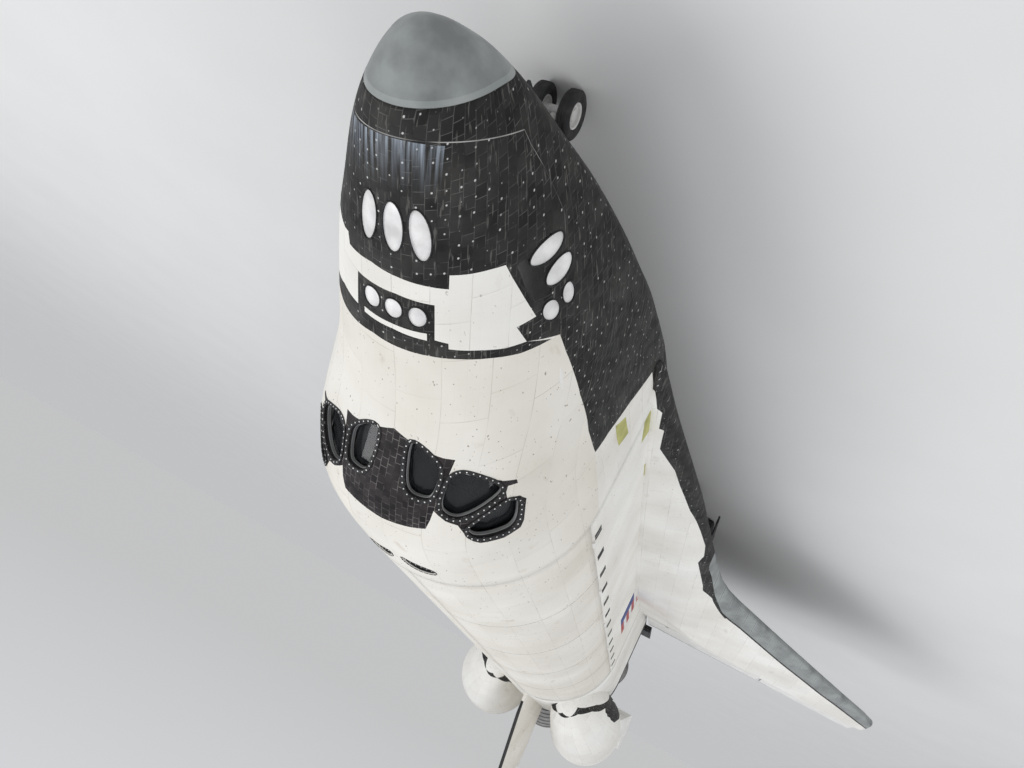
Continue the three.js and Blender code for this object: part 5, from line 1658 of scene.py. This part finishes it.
@dataclass
class Pods:
    """The two pods beside the fin."""

    # the flat sheet's length and girth, how its rows crowd to the front, and the pattern's girth in metres
    LENGTH = 38.0
    ROUND = 60.0
    CROWDING = 1.8
    GIRTH = 9.0
    LIFT = 4
    # aft, out and up of the centre, half width and half height, in inches
    sections: tuple = (
        (1307.6, 65.5, 477.5, 1.5, 2), (1308.6, 65.7, 477.6, 7.5, 10), (1311, 66, 478, 13, 18),
        (1330, 70, 481, 26, 32), (1350, 75, 485, 38, 44), (1400, 84, 489, 50, 56), (1450, 88, 491, 57, 62),
        (1500, 88, 492, 60, 64), (1505, 88, 492, 60, 64),
    )
    # aft, out and up of the band round the front and of the stepped patch
    band: tuple = (
        (27260, 640, 5900), (27806, 1199, 5720), (27353, 2011, 5419), (28067, 2556, 4971), (29394, 2821, 4439),
        (30200, 2700, 4250), (31400, 2600, 4150), (31400, 2800, 4250), (30200, 2900, 4380), (29500, 2980, 4520),
        (28673, 2862, 4880), (27929, 2522, 5271), (27509, 2097, 5611), (27441, 1592, 5817), (28287, 1002, 5803),
        (28700, 640, 5860),
    )
    patch: tuple = (
        (28673, 2862, 4880), (28700, 2930, 5020), (28860, 3006, 5034), (28900, 3060, 5090), (29193, 3156, 5069),
        (29300, 3210, 5120), (29815, 3379, 5102), (30200, 3400, 4960), (30806, 3443, 4789), (31300, 3430, 4600),
        (31883, 3461, 4352), (31700, 3300, 4280), (30900, 3120, 4230), (30100, 2960, 4300), (29642, 2856, 4391),
    )

    def sheet_place(self, table: SmoothTable, aft: float, y: float, z: float) -> tuple[float, float]:
        """Sheet coordinates of a place in millimetres aft, out and up."""
        first, last = self.sections[0][0], self.sections[-1][0]
        station = min(max(aft / INCH + NOSE_STATION, first), last)
        out, up, half, tall = table(station)
        angle = math.atan2((z / INCH + BELLY_HEIGHT - up) / tall, (y / INCH - out) / half) % (2 * math.pi)
        flat = angle / (2 * math.pi) * self.ROUND
        along = self.LENGTH * ((station - first) / (last - first)) ** (1 / self.CROWDING)
        return along, flat - self.ROUND if flat > self.ROUND / 2 else flat

    def station(self, x: float) -> float:
        """Station in inches of a sheet place along the pod."""
        first, last = self.sections[0][0], self.sections[-1][0]
        return first + (last - first) * (x / self.LENGTH) ** self.CROWDING

    def belts(self, sheet: Sheet, table: SmoothTable) -> None:
        """Marks the black band along the pod's front lower edge and the stepped patch beside it."""
        for outline in (self.band, self.patch):
            shape = [self.sheet_place(table, *place) for place in outline]
            sheet.mark(shape, 1)
            sheet.mark([(x, y + self.ROUND) for x, y in shape], 1)

    def build(self) -> None:
        """Makes the pods' skins."""
        table = SmoothTable(self.sections)
        for side, name in sides():
            sheet = Sheet((0.0, 0.0), (self.LENGTH, self.ROUND), 1.0)

            def place(x: float, y: float) -> Vector:
                aft = self.station(x)
                out, up, half, tall = table(aft)
                angle = y / self.ROUND * 2 * math.pi
                return at(
                    (aft - NOSE_STATION) * INCH, (out + half * math.cos(angle)) * INCH + self.LIFT * math.cos(angle),
                    (up + tall * math.sin(angle) - BELLY_HEIGHT) * INCH + self.LIFT * math.sin(angle),
                )

            def chart(x: float, y: float) -> tuple[float, float]:
                return self.station(x) * INCH * MM, y / self.ROUND * self.GIRTH

            self.belts(sheet, table)
            bm = sheet.lay(place, chart)
            bmesh.ops.remove_doubles(bm, verts=bm.verts, dist=0.5)
            mirror_to(bm, side)
            hand_over(bm, f"pod_skin_{name}", [Finishes.PANEL, Finishes.BLACK_TILE], "airframe", wall=15.0)


@dataclass(frozen=True)
class EngineSeat:
    """Where an engine swings: gimbal place, and the axis's lean upwards and outboard in degrees."""

    aft: float
    y: float
    z: float
    up: float
    out: float
    arm: float

    def axes(self, side: int) -> tuple[Vector, Vector, Vector]:
        """The gimbal's place, the way along the bell, and the way across the ship."""
        up, out = math.radians(self.up), math.radians(self.out)
        way = Vector((-math.cos(out) * math.cos(up), side * math.sin(out) * math.cos(up), math.sin(up)))
        return at(self.aft, self.y * side, self.z), way.normalized(), Vector((0, 1, 0))


@dataclass
class Engines:
    """The three main engines and the two pod engines."""

    upper: EngineSeat = EngineSeat(30735, 0, 4394, 16, 0, 110)
    lower: EngineSeat = EngineSeat(31320, 1346, 1845, 10, 3.5, 110)
    pod: EngineSeat = EngineSeat(32588, 2235, 5639, 15.8, 6.5, 44)
    main_bell: tuple = (
        (1420, 300), (1450, 310), (1600, 330), (1750, 360), (2100, 500), (2600, 700), (3200, 930), (3940, 1152),
    )
    pod_bell: tuple = ((66, 92), (150, 110), (250, 180), (600, 380), (1000, 490), (1400, 545))

    def bell(self, rows: tuple, wall: float, neck: Outline, floor: float) -> list[tuple[float, float]]:
        """A bell's outline, down its outside and back up its inside."""
        table = SmoothTable(rows)
        first, last = rows[0][0], rows[-1][0]
        marks = [first + (last - first) * i / 22 for i in range(23)]
        outside = [(x, table(x)[0]) for x in marks]
        inside = [(x, table(x)[0] - wall) for x in reversed(marks) if x > floor]
        return [*neck, *outside, *inside, (floor, 0.0)]

    def main_engine(self, seat: EngineSeat, side: int) -> BMesh:
        """One main engine with its bell, hoops and powerhead."""
        origin, way, _ = seat.axes(side)
        neck = [(165, 0), (165, 230), (300, 235), (650, 290), (1345, 290), (1345, 604), (1353, 610), (1408, 600),
                (1420, 592)]
        engine = spun(self.bell(self.main_bell, 40.0, neck, 1760.0), origin, way, 72, closed=False)
        table = SmoothTable(self.main_bell)
        hoops = []
        for place in (1900, 2120, 2340, 2560, 2790, 3020, 3250, 3480, 3700, 3885):
            radius = table(place)[0]
            outline = [(place - 22, radius - 6), (place - 18, radius + 20), (place + 18, radius + 22),
                       (place + 22, radius - 6)]
            hoops.append(spun(outline, origin, way, 72))
        return merged(engine, *hoops, *self.cheeks(seat, side))

    def cheeks(self, seat: EngineSeat, side: int) -> list[BMesh]:
        """The two plates that hold the cross block."""
        origin, way, across = seat.axes(side)
        a = seat.arm
        place = frame_of(origin, way, across)
        plates = []
        for low, high in ((a + 0.3, 1.6 * a), (-1.6 * a, -a - 0.3)):
            plates.append(box(place, Vector((-0.65 * a, -0.55 * a, low)), Vector((1.8 * a, 0.55 * a, high)), 0.06 * a))
        return plates

    def build(self) -> None:
        """Makes the five engines."""
        mains = [(self.upper, 1, "engine_upper"), (self.lower, 1, "engine_lower_port"),
                 (self.lower, -1, "engine_lower_starboard")]
        for seat, side, name in mains:
            hand_over(self.main_engine(seat, side), f"{name}_bell", [Finishes.BELL], name, [name], sharp=35.0)
        for side, word in sides():
            origin, way, _ = self.pod.axes(side)
            outline = self.bell(self.pod_bell, 22.0, [(66, 0)], 290.0)
            hoop = [(1368, 520), (1372, 556), (1400, 558), (1400, 540)]
            bm = merged(spun(outline, origin, way, 56, closed=False), spun(hoop, origin, way, 56),
                        *self.cheeks(self.pod, side))
            name = f"pod_engine_{word}"
            hand_over(bm, f"{name}_bell", [Finishes.BELL], name, [name], sharp=35.0)


@dataclass(frozen=True)
class TyreSize:
    """A tyre and its rim."""

    radius: float
    width: float
    spread: float
    rim: float


@dataclass
class Wheels:
    """Tyres and rims of the nose and main gear."""

    nose: TyreSize = TyreSize(406, 223, 270, 215)
    main: TyreSize = TyreSize(565, 400, 440, 300)
    nose_aft: float = 3560.0
    main_aft: float = 23800.0
    main_z: float = -2050.0
    leg_y: float = 3454.0

    @property
    def nose_z(self) -> float:
        """Height of the nose axle, so that all wheels touch the ground."""
        drop = self.nose.radius - self.main.radius + (self.main_aft - self.nose_aft) * math.sin(PITCH)
        return self.main_z + drop / math.cos(PITCH)

    def tyre(self, size: TyreSize, centre: Vector, grooves: int) -> BMesh:
        """A rounded tyre with grooves round its tread."""
        half, wall = size.width / 2, size.radius - size.rim
        side = [(0.62, 0.0), (0.72, 0.02), (0.9, 0.14), (0.99, 0.32), (1.0, 0.46), (0.97, 0.63), (0.9, 0.79),
                (0.79, 0.91), (0.66, 0.975)]
        left = [(-half * a, size.rim + wall * b) for a, b in side]
        tread = []
        span = half * 1.12
        for i in range(grooves):
            middle = -span / 2 + span * (i + 0.5) / grooves
            crown = size.radius - abs(middle / half) ** 2 * wall * 0.05
            tread += [(middle - 5, crown), (middle - 4, crown - 9), (middle + 4, crown - 9), (middle + 5, crown)]
        right = [(-x, r) for x, r in reversed(left)]
        return spun([*left, *tread, *right], centre, Vector((0, 1, 0)), 96)

    def rim_outline(self, size: TyreSize, axle: float, flange: float, housing: float) -> Outline:
        """One rim's outline about the axle, on the port side of the leg."""
        half = size.width * 0.36
        inner, outer = size.spread - half, size.spread + half
        rim = size.rim
        return [
            (housing, axle), (housing, flange), (inner + 25, flange), (inner + 30, rim * 0.8), (inner, rim * 0.86),
            (inner - 8, rim * 0.99), (inner + 14, rim), (outer - 14, rim), (outer + 8, rim * 0.99),
            (outer, rim * 0.86), (outer - 46, rim * 0.8), (outer - 62, flange * 1.35), (outer - 20, flange * 1.2),
            (outer - 14, flange * 0.9), (outer - 14, 0), (housing, 0),
        ]

    def bolts(self, centre: Vector, out: float, ring: float, count: int, size: float) -> list[BMesh]:
        """A ring of bolt heads on a rim's face."""
        heads = []
        for i in range(count):
            angle = 2 * math.pi * i / count
            place = centre + Vector((ring * math.cos(angle), 0, ring * math.sin(angle)))
            heads.append(rod(place, place + Vector((0, out, 0)), size, steps=8))
        return heads

    def rims(self, size: TyreSize, centre: Vector, axle: float, flange: float, housing: float) -> BMesh:
        """Both rims on one axle."""
        outline = self.rim_outline(size, axle, flange, housing)
        port = spun(outline, centre, Vector((0, 1, 0)), 64)
        starboard = spun(outline, centre, Vector((0, -1, 0)), 64)
        axle_bar = rod(centre - Vector((0, housing + 2, 0)), centre + Vector((0, housing + 2, 0)), axle)
        face = size.spread + size.width * 0.36 - 52
        heads = []
        for sign in (1, -1):
            heads += self.bolts(centre + Vector((0, sign * face, 0)), sign * 16, size.rim * 0.62, 10, size.rim * 0.045)
        return merged(port, starboard, axle_bar, *heads)

    def build(self) -> None:
        """Makes every wheel."""
        centre = at(self.nose_aft, 0, self.nose_z)
        hand_over(self.rims(self.nose, centre, 50, 80, 120.3), "nose_wheel_rims", [Finishes.GEAR], "nose_wheels",
                  ["nose_wheels"], sharp=30.0)
        for side, name in sides():
            place = centre + Vector((0, side * self.nose.spread, 0))
            hand_over(self.tyre(self.nose, place, 3), f"nose_wheel_tyre_{name}", [Finishes.RUBBER], "nose_wheels",
                      [f"nose_tyre_{name}"], sharp=50.0)
            centre_main = at(self.main_aft, side * self.leg_y, self.main_z)
            body = f"main_wheels_{name}"
            hand_over(self.rims(self.main, centre_main, 62, 95, 150.3), f"main_wheel_rims_{name}", [Finishes.GEAR],
                      body, [body], sharp=30.0)
            for where, sign in (("outer", 1), ("inner", -1)):
                place = centre_main + Vector((0, side * sign * self.main.spread, 0))
                hand_over(self.tyre(self.main, place, 5), f"main_wheel_tyre_{where}_{name}", [Finishes.RUBBER], body,
                          [f"main_tyre_{where}_{name}"], sharp=50.0)


NODE_FINISHES = {
    "aft_fuselage": Finishes.BLACK_SIDE,
    "body_flap": Finishes.BLACK_PLAN,
    "crew_hatch": Finishes.WHITE_SIDE,
    "fin": Finishes.BLANKET_SIDE,
    "speed_brake": Finishes.WHITE_SIDE,
    "main_gear_door": Finishes.BLACK_PLAN,
    "nose_gear_door": Finishes.BLACK_PLAN,
    "umbilical_door": Finishes.BLACK_PLAN,
    "thruster_module": Finishes.BLACK_PLAN,
    "oms_pod": Finishes.WHITE_SIDE,
    "bay_door": Finishes.WHITE_PLAN,
    "forward_fuselage": Finishes.WHITE_SIDE,
    "mid_fuselage": Finishes.WHITE_PLAN,
    "elevon": Finishes.WHITE_ELEVON,
    "wing_edge": Finishes.CARBON,
    "wing": Finishes.BLACK_PLAN,
}


def dress_nodes() -> None:
    """Gives every CAD node the finish of its record slot, or the one kept for its name."""
    by_slot: dict[str, Finishes] = {}
    for finish in Finishes:
        by_slot.setdefault(finish.slot, finish)
    members = {part["node"]: part["material_slot"] for part in frame["record"]["subparts"]}
    for name, node in frame["nodes"].items():
        kept = next((finish for start, finish in NODE_FINISHES.items() if name.startswith(start)), None)
        finish = kept or by_slot.get(members.get(name, ""), Finishes.WHITE_PLAN)
        node.data.materials.clear()
        node.data.materials.append(finish.material)


@dataclass
class Studio:
    """Camera, floor and light."""

    place: tuple[float, float, float] = (24.002, -5.136, 8.237)
    right: tuple[float, float, float] = (-0.160578, -0.86957, -0.466978)
    up: tuple[float, float, float] = (0.41968, 0.36807, -0.829699)
    back: tuple[float, float, float] = (0.893357, -0.32921, 0.305832)
    lens: float = 27.29
    sky_strength: float = 0.8
    key_power: float = 9000.0
    fill_power: float = 4000.0

    def camera(self) -> None:
        """Makes the camera at the photograph's viewing angle."""
        data = bpy.data.cameras.new("camera")
        data.lens = self.lens
        data.sensor_width = 36.0
        data.clip_end = 2000.0
        camera = bpy.data.objects.new("camera", data)
        turn = Matrix((self.right, self.up, self.back)).transposed().to_4x4()
        camera.matrix_world = Matrix.Translation(self.place) @ turn
        bpy.context.scene.collection.objects.link(camera)
        bpy.context.scene.camera = camera

    def floor(self) -> None:
        """Makes the pale floor."""
        bm = bmesh.new()
        bmesh.ops.create_circle(bm, cap_ends=True, segments=128, radius=1900.0)
        mesh = bpy.data.meshes.new("floor")
        bm.to_mesh(mesh)
        bm.free()
        floor = bpy.data.objects.new("floor", mesh)
        bpy.context.scene.collection.objects.link(floor)
        r = Recipe("floor_grey")
        tone = r.ramp(r.noise(0.3, 2.0), ((0.3, (0.7, 0.7, 0.69)), (0.7, (0.72, 0.72, 0.71))))
        mesh.materials.append(r.finish(Base_Color=tone, Roughness=0.9))

    def sky(self) -> None:
        """Makes the studio's surrounding light, brighter overhead than at the horizon."""
        world = bpy.data.worlds.new("studio")
        bpy.context.scene.world = world
        world.use_nodes = True
        tree = world.node_tree
        place = tree.nodes.new("ShaderNodeTexCoord")
        parts = tree.nodes.new("ShaderNodeSeparateXYZ")
        ramp = tree.nodes.new("ShaderNodeValToRGB")
        stops = ramp.color_ramp.elements
        stops[0].position, stops[0].color = 0.1, (0.68, 0.685, 0.69, 1.0)
        stops[1].position, stops[1].color = 0.55, (0.94, 0.96, 1.0, 1.0)
        tree.links.new(place.outputs["Generated"], parts.inputs[0])
        tree.links.new(parts.outputs["Z"], ramp.inputs["Fac"])
        tree.links.new(ramp.outputs["Color"], tree.nodes["Background"].inputs["Color"])
        tree.nodes["Background"].inputs["Strength"].default_value = self.sky_strength

    def lights(self) -> None:
        """Makes the soft light."""
        self.sky()
        for name, where, size, power in (
            ("key", (30.0, 26.0, 40.0), 26.0, self.key_power), ("fill", (12.0, -40.0, 26.0), 24.0, self.fill_power),
        ):
            data = bpy.data.lights.new(name, "AREA")
            data.size = size
            data.energy = power
            light = bpy.data.objects.new(name, data)
            light.location = where
            aim = Vector((4.0, 0.0, 3.0)) - Vector(where)
            light.rotation_euler = aim.to_track_quat("-Z", "Y").to_euler()
            bpy.context.scene.collection.objects.link(light)
        bpy.context.scene.view_settings.view_transform = "Standard"


def main() -> None:
    """Builds the studio and every sub-assembly in order."""
    logging.basicConfig(level=logging.INFO, format="%(name)s: %(message)s")
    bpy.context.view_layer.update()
    studio = Studio()
    studio.camera()
    studio.floor()
    studio.lights()
    dress_nodes()
    for assembly in (Nose(), ForwardFuselage(), MidFuselage(), AftFuselage(), Wing(), Pods(), Engines(), Wheels()):
        assembly.build()
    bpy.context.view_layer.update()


if __name__ == "__main__":
    main()
